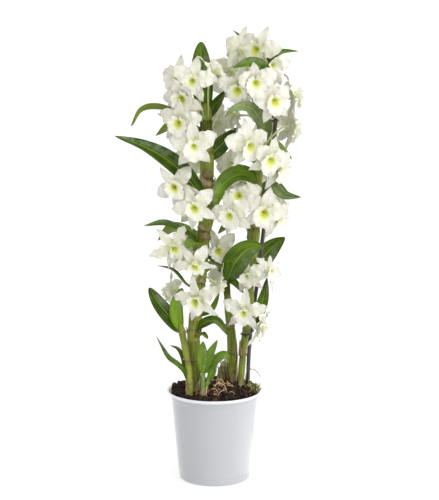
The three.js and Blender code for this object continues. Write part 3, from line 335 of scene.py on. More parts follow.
# Torn strips of dry sheath: [cane, length up to its foot, height, direction, width in degrees, age, flare].
DRY_STRIPS = [
    [LEFT, 24, 24, 270, 110, 0.5, 0.8], [LEFT, 25, 15, 340, 90, 0.8, 0.5],
    [LEFT, 24, 30, 200, 80, 0.2, 1.0], [LEFT, 24, 18, 90, 130, 0.5, 0.8],
    [SHORT, 22, 20, 230, 70, 0.7, 0.8], [SHORT, 22, 13, 330, 80, 0.9, 0.5],
    [SHORT, 23, 22, 80, 120, 0.3, 0.6], [MIDDLE, 30, 56, 340, 150, 0.0, 0.2],
    [MIDDLE, 24, 22, 260, 100, 0.6, 0.6], [MIDDLE, 24, 34, 180, 80, 0.3, 1.0],
    [MIDDLE, 24, 26, 80, 120, 0.5, 0.8], [RIGHT, 23, 20, 250, 110, 0.5, 0.7],
    [RIGHT, 24, 32, 330, 70, 0.1, 1.2], [RIGHT, 24, 24, 120, 140, 0.4, 0.8],
    [RIGHT, 70, 20, 200, 70, 0.3, 0.8], [LEFT, 288, 15, 250, 120, 0.15, 0.4],
    [LEFT, 290, 11, 330, 80, 0.3, 0.6], [LEFT, 222, 12, 300, 110, 0.9, 0.4],
    [LEFT, 189, 10, 240, 80, 0.7, 0.6], [MIDDLE, 18, 66, 340, 130, 0.0, 0.2],
]
# Where a cane's node rings keep scraps of sheath: [cane, lengths between which, share that do].
DRY_RINGS = [[LEFT, [60, 420], 0.4], [RIGHT, [60, 380], 0.35], [MIDDLE, [60, 140], 0.3]]
SHOOT_STRIPS = [[15, 16, 250], [17, 11, 20], [24, 14, 130]]    # length up to its foot, height, direction

# ---------------- mesh tools

PLAIN = [0, 0, 0, 0]             # tones where the material doesn't read them


def unit(v):
    return v / np.maximum(np.linalg.norm(v, axis=-1, keepdims=True), 1e-9)


def circle(sides):
    """Angles at even steps round a circle, in radians."""
    return np.linspace(0, 2 * math.pi, sides, endpoint=False)


def level_way(angle):
    """The level direction at an angle in radians."""
    return np.array([math.cos(angle), math.sin(angle), 0])


def level_ring(radius, height, sides):
    """Points of a level circle round the middle."""
    angles = circle(sides)
    return np.stack([radius * np.cos(angles), radius * np.sin(angles), np.full(sides, float(height))], -1)


def grid_faces(rows, columns, wrap=False):
    """Quads of a grid of points, row by row. With wrap the last column joins the first."""
    i, j = np.meshgrid(np.arange(rows - 1), np.arange(columns if wrap else columns - 1), indexing="ij")
    here, after = i * columns + j, i * columns + (j + 1) % columns
    return np.stack([here, after, after + columns, here + columns], -1).reshape(-1, 4)


class Build:
    """Gathers closed surfaces and their tones, and makes one object of them."""

    def __init__(self):
        self.points, self.tones, self.faces, self.finishes = [], [], [], []
        self.count = 0

    def add(self, points, faces, tones, finish=0):
        """Points are in millimetres. Tones are four numbers a point, which the material reads."""
        points = np.asarray(points, float).reshape(-1, 3)
        self.points.append(points)
        self.tones.append(np.broadcast_to(np.asarray(tones, float), (len(points), 4)))
        self.faces += [[int(i) + self.count for i in face] for face in faces]
        self.finishes += [finish] * len(faces)
        self.count += len(points)

    def mesh(self, name):
        mesh = bpy.data.meshes.new(name)
        mesh.from_pydata((np.concatenate(self.points) * MM).tolist(), [], self.faces)
        return mesh

    def make(self, name, materials, slot, nodes=(), sharp=60):
        mesh = self.mesh(name)
        mesh.polygons.foreach_set("material_index", self.finishes)
        mesh.polygons.foreach_set("use_smooth", [True] * len(self.faces))
        tone = mesh.attributes.new("tone", "FLOAT_COLOR", "POINT")
        tone.data.foreach_set("color", np.concatenate(self.tones).ravel())
        for material in materials:
            mesh.materials.append(material)
        mesh.set_sharp_from_angle(angle=math.radians(sharp))
        piece = add_object(name, mesh)
        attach(piece, "root")
        if nodes:
            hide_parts(*nodes)
        return piece


class Curve:
    """A smooth line through points, read by its share of the whole length."""

    def __init__(self, points, samples=400):
        knots = np.asarray(points, float)
        whole = np.vstack([2 * knots[0] - knots[1], knots, 2 * knots[-1] - knots[-2]])
        spans = len(knots) - 1
        line = []
        for sample in range(samples + 1):
            place = spans * sample / samples
            i = min(int(place), spans - 1)
            w = place - i
            p = whole[i:i + 4]
            before, step, after = np.diff(p, axis=0)
            a, b, c = [max(np.linalg.norm(gap) ** 0.5, 1e-4) for gap in (before, step, after)]
            out = (before / a - (p[2] - p[0]) / (a + b) + step / b) * b
            back = (step / b - (p[3] - p[1]) / (b + c) + after / c) * b
            bend = (3 * step - 2 * out - back) * w ** 2 + (out + back - 2 * step) * w ** 3
            line.append(p[1] + out * w + bend)
        self.line = np.array(line)
        steps = np.linalg.norm(np.diff(self.line, axis=0), axis=1)
        self.along = np.concatenate([[0], np.cumsum(steps)])
        self.length = self.along[-1]

    def at(self, shares):
        wanted = np.asarray(shares, float) * self.length
        return np.stack([np.interp(wanted, self.along, self.line[:, k]) for k in range(3)], -1)

    def tangent(self, shares):
        shares = np.asarray(shares, float)
        return unit(self.at(np.clip(shares + 0.004, 0, 1)) - self.at(np.clip(shares - 0.004, 0, 1)))


def stem_curve(points, depth=STEM_DEPTH):
    """The line of a stem, which starts below the surface."""
    x, y, z = points[0]
    return Curve([[x, y, z - depth], *points])


def frames(centres):
    """A pair of directions square to the line at each point, which turn as little as they can."""
    tangents = unit(np.gradient(centres, axis=0))
    normal = np.array([1, 0.2, 0.1])
    normals = []
    for tangent in tangents:
        normal = unit(normal - normal @ tangent * tangent)
        normals.append(normal)
    normals = np.array(normals)
    return normals, np.cross(tangents, normals)


def tube(build, centres, radii, tones, sides=12, finish=0, blunt=0.6):
    """A closed round bar. Radii are one a point, or one a point and side. Tones are per point."""
    centres = np.asarray(centres, float)
    normals, binormals = frames(centres)
    angles = circle(sides)
    radii = np.asarray(radii, float)
    radii = radii[:, None] if radii.ndim == 1 else radii
    rings = (
        centres[:, None]
        + normals[:, None] * (radii * np.cos(angles))[..., None]
        + binormals[:, None] * (radii * np.sin(angles))[..., None]
    )
    start = centres[0] - unit(centres[1] - centres[0]) * radii[0].mean() * blunt
    end = centres[-1] + unit(centres[-1] - centres[-2]) * radii[-1].mean() * blunt
    count = len(centres)
    faces = grid_faces(count, sides, wrap=True).tolist()
    first, last = count * sides, (count - 1) * sides
    for k in range(sides):
        turn = (k + 1) % sides
        faces += [[first, turn, k], [first + 1, last + k, last + turn]]
    tones = np.asarray(tones, float)
    if tones.ndim == 1:
        tones = np.broadcast_to(tones, (count, 4))
    if tones.ndim == 2:
        tones = np.broadcast_to(tones[:, None], (count, sides, 4))
    tones = np.vstack([tones.reshape(-1, 4), tones[0, :1], tones[-1, :1]])
    build.add(np.vstack([rings.reshape(-1, 3), [start], [end]]), faces, tones, finish)


def shell(build, upper, lower, tones, finish=0):
    """A closed thin blade between two grids of points of one size. The fourth tone is 1 underneath."""
    rows, columns = upper.shape[:2]
    size = rows * columns
    faces = grid_faces(rows, columns)
    index = np.arange(size).reshape(rows, columns)
    rim = np.concatenate([index[0, :-1], index[:-1, -1], index[-1, :0:-1], index[:0:-1, 0]])
    border = [[b, a, a + size, b + size] for a, b in zip(rim, np.roll(rim, -1))]
    under = tones.copy()
    under[..., 3] = 1
    build.add(np.concatenate([upper.reshape(-1, 3), lower.reshape(-1, 3)]),
              [*faces, *(faces[:, ::-1] + size), *border],
              np.concatenate([tones.reshape(-1, 4), under.reshape(-1, 4)]), finish)


def capped(build, rings, tones):
    """A closed solid of rings of points, each above the one before, with flat ends."""
    rings = np.asarray(rings, float)
    count, sides = rings.shape[:2]
    last = (count - 1) * sides
    ends = [list(range(sides))[::-1], list(range(last, last + sides))]
    build.add(rings, [*grid_faces(count, sides, wrap=True), *ends], tones)


def tone_grid(*values):
    """Four tones for each point of a grid, from numbers and from arrays that fit it."""
    return np.stack(np.broadcast_arrays(*[np.asarray(value, float) for value in values]), -1)


# ---------------- materials


def linear(code):
    """A hex colour as scene-linear red, green, blue and alpha."""
    parts = [int(code[i:i + 2], 16) / 255 for i in (0, 2, 4)]
    return [c / 12.92 if c <= 0.04045 else ((c + 0.055) / 1.055) ** 2.4 for c in parts] + [1.0]


class Nodes:
    """A short way to write shader nodes."""

    def __init__(self, tree):
        self.tree = tree

    def node(self, kind, *inputs, **settings):
        made = self.tree.nodes.new(kind)
        for key, value in settings.items():
            setattr(made, key, value)
        for socket, value in zip(made.inputs, inputs):
            self.put(socket, value)
        return made

    def put(self, socket, value):
        """Gives a socket another node's output, a number or a colour."""
        if isinstance(value, bpy.types.NodeSocket):
            self.tree.links.new(value, socket)
        else:
            socket.default_value = linear(value) if isinstance(value, str) else value

    def math(self, operation, a, b=0.0, clamp=False):
        return self.node("ShaderNodeMath", a, b, operation=operation, use_clamp=clamp).outputs[0]

    def times(self, product, *values):
        for value in values:
            product = self.math("MULTIPLY", product, value)
        return product

    def band(self, value, low, high, start=0.0, end=1.0):
        """Goes smoothly from start to end as value goes from low to high."""
        made = self.node("ShaderNodeMapRange", value, low, high, start, end, interpolation_type="SMOOTHSTEP")
        return made.outputs[0]

    def mix(self, share, a, b):
        made = self.node("ShaderNodeMix", data_type="RGBA")
        for socket, value in ((0, share), (6, a), (7, b)):
            self.put(made.inputs[socket], value)
        return made.outputs[2]

    def stripes(self, value, count):
        """Bright lines along a piece, count of them as value goes from 0 to 1."""
        turned = self.math("SINE", self.times(value, count * 2 * math.pi))
        return self.math("MULTIPLY_ADD", turned, 0.5)


class Material(Nodes):
    """A material that reads a piece's four tones, and whose colour is painted in layers."""

    def __init__(self, name, colour, roughness, specular, soft=(), **constants):
        """Soft is how much light goes in, how far its red, green and blue reach, and their scale."""
        self.material = bpy.data.materials.new(name)
        self.material.use_nodes = True
        super().__init__(self.material.node_tree)
        self.shader = self.tree.nodes["Principled BSDF"].inputs
        self.colour = colour
        constants.update(Roughness=roughness, Specular_IOR_Level=specular)
        constants.update(zip(("Subsurface_Weight", "Subsurface_Radius", "Subsurface_Scale"), soft))
        for key, value in constants.items():
            self.shader[key.replace("_", " ")].default_value = value
        tone = self.node("ShaderNodeAttribute", attribute_name="tone")
        split = self.node("ShaderNodeSeparateColor", tone.outputs["Color"])
        self.tones = [*split.outputs, tone.outputs["Alpha"]]
        self.place = self.node("ShaderNodeTexCoord").outputs["Object"]

    def noise(self, scale, detail=3.0, roughness=0.55, stretch=None, place=None):
        place = place or self.place
        if stretch:
            place = self.node("ShaderNodeVectorMath", place, stretch, operation="MULTIPLY").outputs[0]
        made = self.node("ShaderNodeTexNoise")
        for key, value in (("Vector", place), ("Scale", scale), ("Detail", detail), ("Roughness", roughness)):
            self.put(made.inputs[key], value)
        return made.outputs["Fac"]

    def patches(self, scale, detail, low, high, amount=1.0, roughness=0.55, stretch=None):
        """Soft patches of the given amount where noise is above high, and nothing below low."""
        return self.band(self.noise(scale, detail, roughness, stretch), low, high, 0.0, amount)

    def paint(self, share, colour):
        """Lays a colour over what is there."""
        self.colour = self.mix(share, self.colour, colour)

    def finish(self, bumps=(), roughness=None):
        """Bumps are (height, distance in millimetres) pairs."""
        self.put(self.shader["Base Color"], self.colour)
        if roughness is not None:
            self.put(self.shader["Roughness"], roughness)
        normal = self.shader["Normal"]
        for height, distance in reversed(bumps):
            bump = self.node("ShaderNodeBump")
            self.put(bump.inputs["Strength"], 1)
            self.put(bump.inputs["Distance"], distance * MM)
            self.put(bump.inputs["Height"], height)
            self.put(normal, bump.outputs[0])
            normal = bump.inputs["Normal"]
        return self.material


def petal_material():
    """Tones: share along the petal, distance from its midline, bloom's own tone, underside."""
    m = Material("petal", "f5f3e6", 0.55, 0.2, soft=(0.3, (1, 0.95, 0.85), 0.002))
    along, aside, own, under = m.tones
    veins = m.stripes(aside, 6.5)
    m.paint(m.patches(46, 4, 0.38, 0.68, roughness=0.6), "dfdcc8")
    m.paint(m.band(own, 0.55, 1.0, 0.0, 0.3), "f1e6df")
    m.paint(m.band(veins, 0.5, 1.0, 0.0, 0.16), "d8d8c2")
    m.paint(m.times(m.band(aside, 0.0, 0.16, 0.32, 0.0), m.band(along, 0.3, 0.9, 1.0, 0.2)), "dfe3bc")
    m.paint(m.band(along, 0.0, 0.36, 0.55, 0.0), "ccd79c")
    # painted shade: a darker edge that outlines each tepal against the next
    m.paint(m.band(aside, 0.84, 1.0, 0.0, 0.4), "cfccb6")
    m.paint(m.times(under, m.band(own, 0.2, 1.0, 0.05, 0.35)), "e2e6c8")
    return m.finish([(veins, 0.22), (m.noise(700, 2), 0.08)])


def lip_material():
    """Tones: share from the throat to the edge, distance from the midline, bloom's own tone, outside."""
    m = Material("lip", "f6f4ea", 0.55, 0.2, soft=(0.3, (1, 0.95, 0.8), 0.002))
    along, aside, own, under = m.tones
    veins = m.stripes(aside, 9)
    ragged = m.times(m.math("SUBTRACT", m.noise(220, 3), 0.5), 0.26)
    edge = m.math("ADD", m.math("ADD", along, ragged), m.band(own, 0.0, 0.35, 0.18, -0.05))
    streaks = m.times(m.patches(420, 2, 0.5, 0.62), m.band(own, 0.4, 0.8))
    m.paint(m.noise(90, 2), "e6e4d4")
    outside = m.mix(m.band(along, 0.1, 0.6, 0.7, 0.05), m.colour, "d9e2a4")
    m.paint(m.band(veins, 0.5, 1.0, 0.0, 0.16), "dfe0bc")
    m.paint(m.band(edge, 0.5, 0.78, 0.5, 0.0), "f4f5d8")
    m.paint(m.band(edge, 0.3, 0.6, 0.85, 0.0), "e3e89a")
    m.paint(m.band(edge, 0.16, 0.48, 0.95, 0.0), "ccd558")
    m.paint(m.times(streaks, m.band(along, 0.16, 0.36, 0.7, 0.0)), "8f6238")
    # painted shade: a darker rim that outlines the lip against the tepals
    m.paint(m.band(along, 0.92, 1.0, 0.0, 0.4), "cfccb6")
    m.paint(under, outside)
    return m.finish([(veins, 0.2), (m.noise(700, 2), 0.08)])


def column_material():
    """Tones: share up the column, anther cap, bloom's own tone."""
    m = Material("column", "ccd558", 0.6, 0.25, soft=(0.2, (1, 0.9, 0.5), 0.001))
    along, cap, own, _ = m.tones
    m.paint(along, "dcdd84")
    m.paint(m.times(m.patches(700, 2, 0.36, 0.5, 0.8), m.band(own, 0.35, 0.75), cap), "8e6638")
    return m.finish([(m.noise(900, 3), 0.08)])


def pedicel_material():
    """Tones: share along the stalk, around it."""
    m = Material("pedicel", "8fa84f", 0.45, 0.4, soft=(0.2, (0.9, 1, 0.4), 0.002))
    along, around, _, _ = m.tones
    m.paint(m.band(along, 0.0, 0.75), "cfd9a0")
    m.paint(m.patches(160, 3, 0.4, 0.7, 0.5), "a9b26c")
    m.paint(m.band(along, 0.0, 0.1, 0.8, 0.0), "7f6f3c")
    return m.finish([(m.stripes(around, 6), 0.12)])


def leaf_material(name, dark, light, back):
    """Tones: share along the leaf, place across it, the leaf's own tone, underside."""
    m = Material(name, dark, 0.36, 0.16, soft=(0.03, (0.5, 1, 0.2), 0.0015))
    along, across, own, under = m.tones
    aside = m.math("ABSOLUTE", m.math("SUBTRACT", m.times(across, 2.0), 1.0))
    lines = m.stripes(across, 15)
    cloud = m.noise(38, 4, 0.6)
    flow = m.node("ShaderNodeCombineXYZ", m.times(along, 3.0), m.times(across, 6.0), m.times(own, 40.0))
    flow = m.noise(1.3, 3, place=flow.outputs[0])
    uneven = m.math("ADD", m.math("SUBTRACT", cloud, 0.5), m.math("SUBTRACT", flow, 0.5))
    # painted sheen: pale grey patches over one half of the blade, from its middle towards the tip
    painted_sheen_half = m.times(m.band(along, 0.3, 0.75, 0.0, 0.36), m.band(across, 0.5, 0.66))
    m.paint(m.math("ADD", own, m.times(uneven, 1.2), clamp=True), light)
    m.paint(m.times(lines, 0.15), light)
    m.paint(m.band(aside, 0.5, 1.0, 0.0, 0.4), dark)
    # painted shade: the half of the blade beyond the midrib is darker, as if the fold turns it from the light
    m.paint(m.band(across, 0.45, 0.55, 0.0, 0.14), dark)
    m.paint(m.times(painted_sheen_half, m.patches(70, 4, 0.35, 0.62, roughness=0.7)), "a9b595")
    m.paint(m.band(aside, 0.02, 0.1, 0.55, 0.0), "98ac50")
    m.paint(m.band(aside, 0.93, 1.0, 0.0, 0.3), "8a9a3c")
    m.paint(m.band(along, 0.0, 0.12, 0.55, 0.0), "8a9c3e")
    m.paint(m.patches(240, 2, 0.71, 0.78, 0.5), "5d5420")
    m.paint(m.band(along, 0.965, 1.0, 0.0, 0.75), "63501f")
    m.paint(m.times(under, 0.75), m.mix(cloud, back, "8a9a48"))
    rough = m.math("ADD", m.band(m.noise(60, 3), 0.3, 0.7, 0.26, 0.42), m.times(under, 0.2))
    return m.finish([(lines, 0.14), (m.noise(300, 3), 0.12)], rough)


def cane_material():
    """Tones: share of the internode, how near a node ring, the cane's own tone, around it."""
    m = Material("cane", "38470a", 0.45, 0.2)
    phase, ring, own, around = m.tones
    streak = m.noise(60, 4, 0.6, stretch=(3, 3, 0.5))
    ridges = m.stripes(around, 11)
    m.paint(m.band(streak, 0.3, 0.7), "6d7d26")
    m.paint(own, m.mix(streak, "8a9434", "b4bd58"))
    m.paint(m.patches(30, 4, 0.52, 0.66, 0.6, 0.7, (1.8, 1.8, 0.6)), "5b481a")
    m.paint(m.patches(44, 5, 0.58, 0.68, 0.55, 0.7, (2.2, 2.2, 0.35)), "b0a57a")
    m.paint(m.times(m.patches(330, 2, 0.5, 0.62), m.patches(26, 3, 0.58, 0.68, 0.5)), "c4b88c")
    m.paint(m.band(ridges, 0.4, 1.0, 0.0, 0.25), "a3a34c")
    m.paint(m.band(phase, 0.72, 0.98, 0.0, 0.5), "48501a")
    worn = m.times(ring, m.band(m.noise(150, 2), 0.35, 0.6, 0.25, 0.9))
    m.paint(worn, m.mix(m.noise(180, 3), "5a4a22", "a89a64"))
    m.paint(m.patches(520, 2, 0.66, 0.72, 0.6), "43361a")
    return m.finish([(ridges, 0.25), (m.noise(420, 4), 0.25)], m.band(streak, 0.3, 0.7, 0.36, 0.55))


def sheath_material():
    """Tones: share along the sheath, around it, its own tone."""
    m = Material("sheath", "a58c60", 0.75, 0.25, soft=(0.1, (1, 0.8, 0.5), 0.001))
    along, around, own, _ = m.tones
    fibres = m.noise(120, 4, 0.6, stretch=(4, 4, 0.35))
    m.paint(m.band(fibres, 0.3, 0.7), "ddd0ac")
    m.paint(m.times(own, 0.8), "75603a")
    m.paint(m.band(along, 0.0, 0.35, 0.75, 0.0), "6e3f24")
    m.paint(m.patches(70, 3, 0.5, 0.7, 0.6), "6a6a34")
    return m.finish([(m.stripes(around, 16), 0.12), (fibres, 0.3)])


def bark_material():
    """Tones: own tone, warmth, dampness."""
    m = Material("bark", "0e0908", 0.9, 0.3)
    own, warm, damp, _ = m.tones
    grain = m.noise(260, 5, 0.7)
    m.paint(m.band(grain, 0.25, 0.75), "241814")
    m.paint(m.times(m.math("POWER", own, 4.0), 0.6), "453226")
    m.paint(m.times(warm, 0.7), "6a4630")
    return m.finish([(grain, 0.9), (m.noise(900, 4, 0.7), 0.35)], m.band(damp, 0.0, 1.0, 0.95, 0.55))


def fibre_material():
    """Its first tone goes from tan to brown."""
    m = Material("fibre", "ecca98", 0.8, 0.3)
    m.paint(m.tones[0], "573b22")
    m.paint(m.patches(200, 3, 0.45, 0.7, 0.5), "93683a")
    return m.finish([(m.noise(700, 3), 0.2)])


def moss_material():
    """Its first tone goes from green to straw."""
    m = Material("moss", "56641c", 0.85, 0.2)
    m.paint(m.tones[0], "d3cf8c")
    m.paint(m.patches(240, 3, 0.46, 0.62, 0.8), "4f3d1c")
    return m.finish([(m.noise(900, 3), 0.3)])


def bulb_material():
    """Tones: share up the bulb, around it."""
    m = Material("old_bulb", "4f4c2c", 0.85, 0.25)
    along, around, _, _ = m.tones
    fibres = m.noise(140, 5, 0.65, stretch=(3, 3, 0.4))
    m.paint(m.band(fibres, 0.3, 0.7), "aca67c")
    m.paint(m.patches(60, 3, 0.5, 0.7, 0.7), "66762f")
    m.paint(m.band(along, 0.86, 0.95, 0.0, 0.8), "c9c29c")
    m.paint(m.band(along, 0.0, 0.25, 0.8, 0.0), "4a3220")
    return m.finish([(fibres, 0.8), (m.stripes(around, 22), 0.35)])


def pot_material():
    """White plastic, with painted light on its rim: its colour is lighter above the step under the rim."""
    m = Material("pot_plastic", "b8b9bd", 0.3, 0.4, Coat_Weight=1.0, Coat_Roughness=0.05)
    height = m.node("ShaderNodeSeparateXYZ", m.place).outputs[2]
    # painted light: the rim is coloured lighter above the step, as if lit from above
    m.paint(m.band(height, *RIM_PAINTED_LIGHT), "e6e7ec")
    m.paint(m.patches(120, 5, 0.68, 0.78, 0.08, 0.7, (1, 1, 0.2)), "a3a3a1")
    return m.finish([(m.noise(900, 2), 0.006)])


def stake_material():
    m = Material("stake", "3a3733", 0.4, 0.5)
    streak = m.noise(90, 4, 0.6, stretch=(3, 3, 0.3))
    m.paint(m.band(streak, 0.3, 0.7), "5a5650")
    m.paint(m.patches(300, 3, 0.6, 0.72, 0.5), "7c766c")
    return m.finish([(m.noise(350, 4), 0.15)], m.band(streak, 0.3, 0.7, 0.32, 0.5))


def wire_material():
    m = Material("wire", "1d1b1a", 0.38, 0.5)
    m.paint(m.noise(260, 3), "3a3532")
    return m.finish([(m.noise(900, 3), 0.08)])


def floor_material():
    """A table lit a little from below, and more so at the right, which the pot mirrors."""
    m = Material("floor", "929294", 0.65, 0.2, Emission_Color=(1, 1, 1, 1))
    x, y, _ = m.node("ShaderNodeSeparateXYZ", m.place).outputs
    glow = GLOW
    for (across_x, across_y), start, end in GLOW_SIDES:
        across = m.math("ADD", m.times(x, across_x), m.times(y, across_y))
        glow = m.times(m.band(across, start, end), glow)
    m.put(m.shader["Emission Strength"], m.math("ADD", glow, TABLE_LIGHT))
    return m.finish()


LEAF_SKIN = leaf_material("leaf", "273d04", "7ba024", "6c7f30")
YOUNG_SKIN = leaf_material("young_leaf", "3f610b", "80a034", "76903c")
# a paler, greyer copy of the leaf colours: painted sheen for leaves lit strongly from the right
SHEEN_SKIN = leaf_material("painted_sheen_leaf", "4d6428", "a3b078", "93a05e")
CANE_SKIN = cane_material()
SHEATH = sheath_material()
FIBRE = fibre_material()
DARK_STICK = stake_material()


# ---------------- canes

CANE_SIDES = 28
SCARS = 4                        # scars and old buds at each node ring
STRIP_ROWS, STRIP_COLUMNS = 18, 15
STEADY = 60                      # places along a cane at which its strips find their directions
SCRAPS = 3                       # most scraps of sheath at a node ring
SCRAP_LIMITS = [(4, 13), (0, 360), (30, 90), (0.3, 1), (0.2, 1.2)]    # height, direction, width, age, flare


def radius_at(radii, shares):
    return np.interp(np.clip(shares, 0, 1), np.linspace(0, 1, len(radii)), radii)


def node_places(curve):
    return np.arange(STEM_DEPTH + 10, curve.length - 8, INTERNODE)


def cane_profile(curve, radii, along):
    """Radius, share of the internode and nearness to a node ring, at lengths along a cane."""
    nodes = node_places(curve)
    phase = ((along - nodes[0]) / INTERNODE) % 1
    near = np.minimum(phase, 1 - phase) * INTERNODE
    beyond = (along < nodes[0] - INTERNODE / 2) | (along > nodes[-1] + INTERNODE / 2)
    ring = np.where(beyond, 0, np.exp(-(near / 0.9) ** 2))
    waist = 0.13 * np.exp(-((1 - phase) * INTERNODE / 3.5) ** 2)
    belly = 0.05 * np.sin(math.pi * phase)
    radius = radius_at(radii, along / curve.length) * (1 + 0.09 * ring - waist + belly)
    return radius, phase, ring


def add_cane(name):
    """A cane's stem with its ridges, node rings and scars. Gives back its centre line."""
    cane = CANES[name]
    curve = stem_curve(cane["points"])
    along = np.arange(0, curve.length, 1.5)
    radius, phase, ring = cane_profile(curve, cane["radii"], along)
    radius = radius * np.clip((curve.length - along) / 5, 0.35, 1) ** 0.5
    angles = circle(CANE_SIDES)
    ridges = 1 + 0.022 * np.cos(9 * angles)[None] * np.sin(math.pi * phase)[:, None]
    wobble = 1 + 0.025 * np.sin(along / 9 + rng.uniform(0, 6))[:, None] * np.cos(angles + 1)[None]
    own = np.interp(along, [0, curve.length], cane["tones"])
    tones = tone_grid(phase[:, None], ring[:, None], own[:, None], angles[None] / (2 * math.pi))
    build = Build()
    tube(build, curve.at(along / curve.length), radius[:, None] * ridges * wobble, tones, CANE_SIDES)
    add_scars(build, curve, cane["radii"])
    build.make(name + "_stem", [CANE_SKIN, SHEATH], "cane_green", [name])
    return curve


def add_scars(build, curve, radii):
    """Small dry buds and old flower bracts that sit on the node rings."""
    for share in np.repeat(node_places(curve)[1:] / curve.length, SCARS):
        centre, tangent = curve.at(share), curve.tangent(share)
        normals, binormals = frames(np.array([centre, centre + tangent]))
        angle = rng.uniform(0, 2 * math.pi)
        out = math.cos(angle) * normals[0] + math.sin(angle) * binormals[0]
        base = centre + out * radius_at(radii, share) * 0.8
        tip = base + out * rng.uniform(1.6, 2.8) + tangent * rng.uniform(1.5, 4)
        tube(build, np.linspace(base, tip, 5), [1.5, 1.6, 1.3, 0.8, 0.3], [0.1, 1, 0.2, 0], 8, finish=1)


def add_strip(build, curve, radii, start, height, turn, spread, own, flare, finish=0):
    """A torn strip of dry sheath against a cane, from one length along it to another."""
    u = np.linspace(0, 1, STRIP_ROWS)[:, None]
    aside = np.linspace(-1, 1, STRIP_COLUMNS)[None]
    lean = rng.uniform(-0.5, 0.5)
    narrow = 1 - 0.75 * u ** rng.uniform(1.2, 2.6)
    ragged = 1 + 0.16 * np.sin(u * rng.uniform(9, 16) + aside * 2 + rng.uniform(0, 6)) * np.abs(aside)
    angles = np.radians(turn + spread / 2 * (aside * narrow * ragged + lean * u))
    torn = 1 - 0.3 * np.abs(aside - lean) ** 1.5 * rng.uniform(0.4, 1) - 0.12 * rng.random(aside.shape)
    share = (start + height * u * torn) / curve.length
    radius = radius_at(radii, share) * 1.07 + 0.75 + 0.2 * rng.random(share.shape) * u
    radius = radius + flare * u ** 3 + 0.3 * np.abs(aside) ** 3
    normals, binormals = frames(curve.at(np.linspace(0, 1, STEADY)))
    pick = np.clip(np.round(share * (STEADY - 1)).astype(int), 0, STEADY - 1)
    out = normals[pick] * np.cos(angles)[..., None] + binormals[pick] * np.sin(angles)[..., None]
    outer = curve.at(share) + out * (radius + 0.16)[..., None]
    inner = curve.at(share) + out * (radius - 0.12)[..., None]
    shell(build, outer, inner, tone_grid(u, aside / 2 + 0.5, own, 0), finish)


def add_dry_sheaths(curves):
    """The larger strips, and scraps on some of the node rings."""
    build = Build()
    for name, *strip in DRY_STRIPS:
        add_strip(build, curves[name], CANES[name]["radii"], *strip)
    for name, (low, high), chance in DRY_RINGS:
        for place in np.repeat(node_places(curves[name])[1:], SCRAPS):
            if low < place < high and rng.random() < chance:
                scrap = [rng.uniform(*limits) for limits in SCRAP_LIMITS]
                add_strip(build, curves[name], CANES[name]["radii"], place - 1, *scrap)
    build.make("dry_sheaths", [SHEATH], "dry_sheath")


# ---------------- leaves

LEAF_ROWS, LEAF_COLUMNS = 40, 15
LEAF_BASE = 3.2                  # how wide a leaf is where it starts
COLLAR_SWELL = [0.05, 0.15, 0.25, 0.3, 0.35, 0.4, 0.5, 0.6, 0.7, 0.8, 0.7, 0.1]
COLLAR_SIDES = 20
COLLAR_REACH = (-14, 4)          # from below to above the place where the leaf starts


def leaf_half(width, outline, share):
    peak, point = outline
    place = share ** (math.log(0.5) / math.log(peak))
    swell = np.clip(np.sin(math.pi * place), 0, 1) ** point
    return np.maximum(width * swell, LEAF_BASE * (1 - share)) / 2


def turn_about(vectors, axes, angles):
    cos, sin = np.cos(angles)[:, None], np.sin(angles)[:, None]
    dots = np.sum(vectors * axes, -1, keepdims=True)
    return vectors * cos + np.cross(axes, vectors) * sin + axes * dots * (1 - cos)


def add_leaf(build, width, face, twist, outline, points, own, finish=0):
    """A blade that folds up along its midrib and waves a little at its edges."""
    curve = Curve(points)
    share = 1 - (1 - np.linspace(0, 1, LEAF_ROWS)) ** 1.15
    centre, tangent = curve.at(share), curve.tangent(share)
    across = unit(np.cross(tangent, np.array(face, float)))
    across = turn_about(across, tangent, np.radians(twist) * share)
    normal = unit(np.cross(across, tangent))[:, None]
    share = share[:, None]
    half = np.maximum(leaf_half(width, outline, share), 0.25)
    t = np.linspace(-1, 1, LEAF_COLUMNS)[None]
    fold = 0.32 * half * np.abs(t) ** 1.25
    wave = 0.05 * width * t ** 2 * np.sign(t) * np.sin(2 * math.pi * share * 1.6 + rng.uniform(0, 6))
    fade = np.clip(half, 0, 3) / 3
    rib = -0.45 * np.exp(-(t / 0.07) ** 2) * fade
    keel = 0.5 * np.exp(-(t / 0.12) ** 2) * fade
    lift = fold + wave * np.sin(math.pi * share) + rib
    upper = centre[:, None] + across[:, None] * (half * t)[..., None] + normal * lift[..., None]
    thick = (0.75 - 0.4 * np.abs(t)) * np.clip(half, 0.4, 2) / 2 + 0.12
    lower = upper - normal * (thick + keel)[..., None]
    shell(build, upper, lower, tone_grid(share, t / 2 + 0.5, own, 0), finish)


def add_collar(build, curve, radii, height, own):
    """The sleeve by which a leaf holds its cane, with a thin dry edge."""
    rows = len(COLLAR_SWELL)
    line = curve.at(np.linspace(0, 1, 300))
    share = np.argmin(np.abs(line[:, 2] - height)) / 299
    places = np.clip(share + np.linspace(*COLLAR_REACH, rows) / curve.length, 0, 1)
    radius = radius_at(radii, places) * 1.02 + COLLAR_SWELL
    edge = np.array([0] * (rows - 2) + [0.7, 1])[:, None]
    tones = tone_grid(0.3, edge, own, np.linspace(0, 1, COLLAR_SIDES)[None])
    tube(build, curve.at(places), radius, tones, COLLAR_SIDES, finish=1, blunt=0.02)


def add_leaves(name, curve):
    build = Build()
    for width, face, twist, outline, light, points, *finish in LEAVES[name]:
        drawn = rng.uniform(0.05, 0.5)
        own = drawn if light is DRAWN else light
        add_leaf(build, width, face, twist, outline, points, own, *finish)
        add_collar(build, curve, CANES[name]["radii"], points[0][2] - 2, rng.uniform(0.2, 0.6))
    build.make(name + "_leaves", [LEAF_SKIN, CANE_SKIN, SHEEN_SKIN], "cane_green", [name])


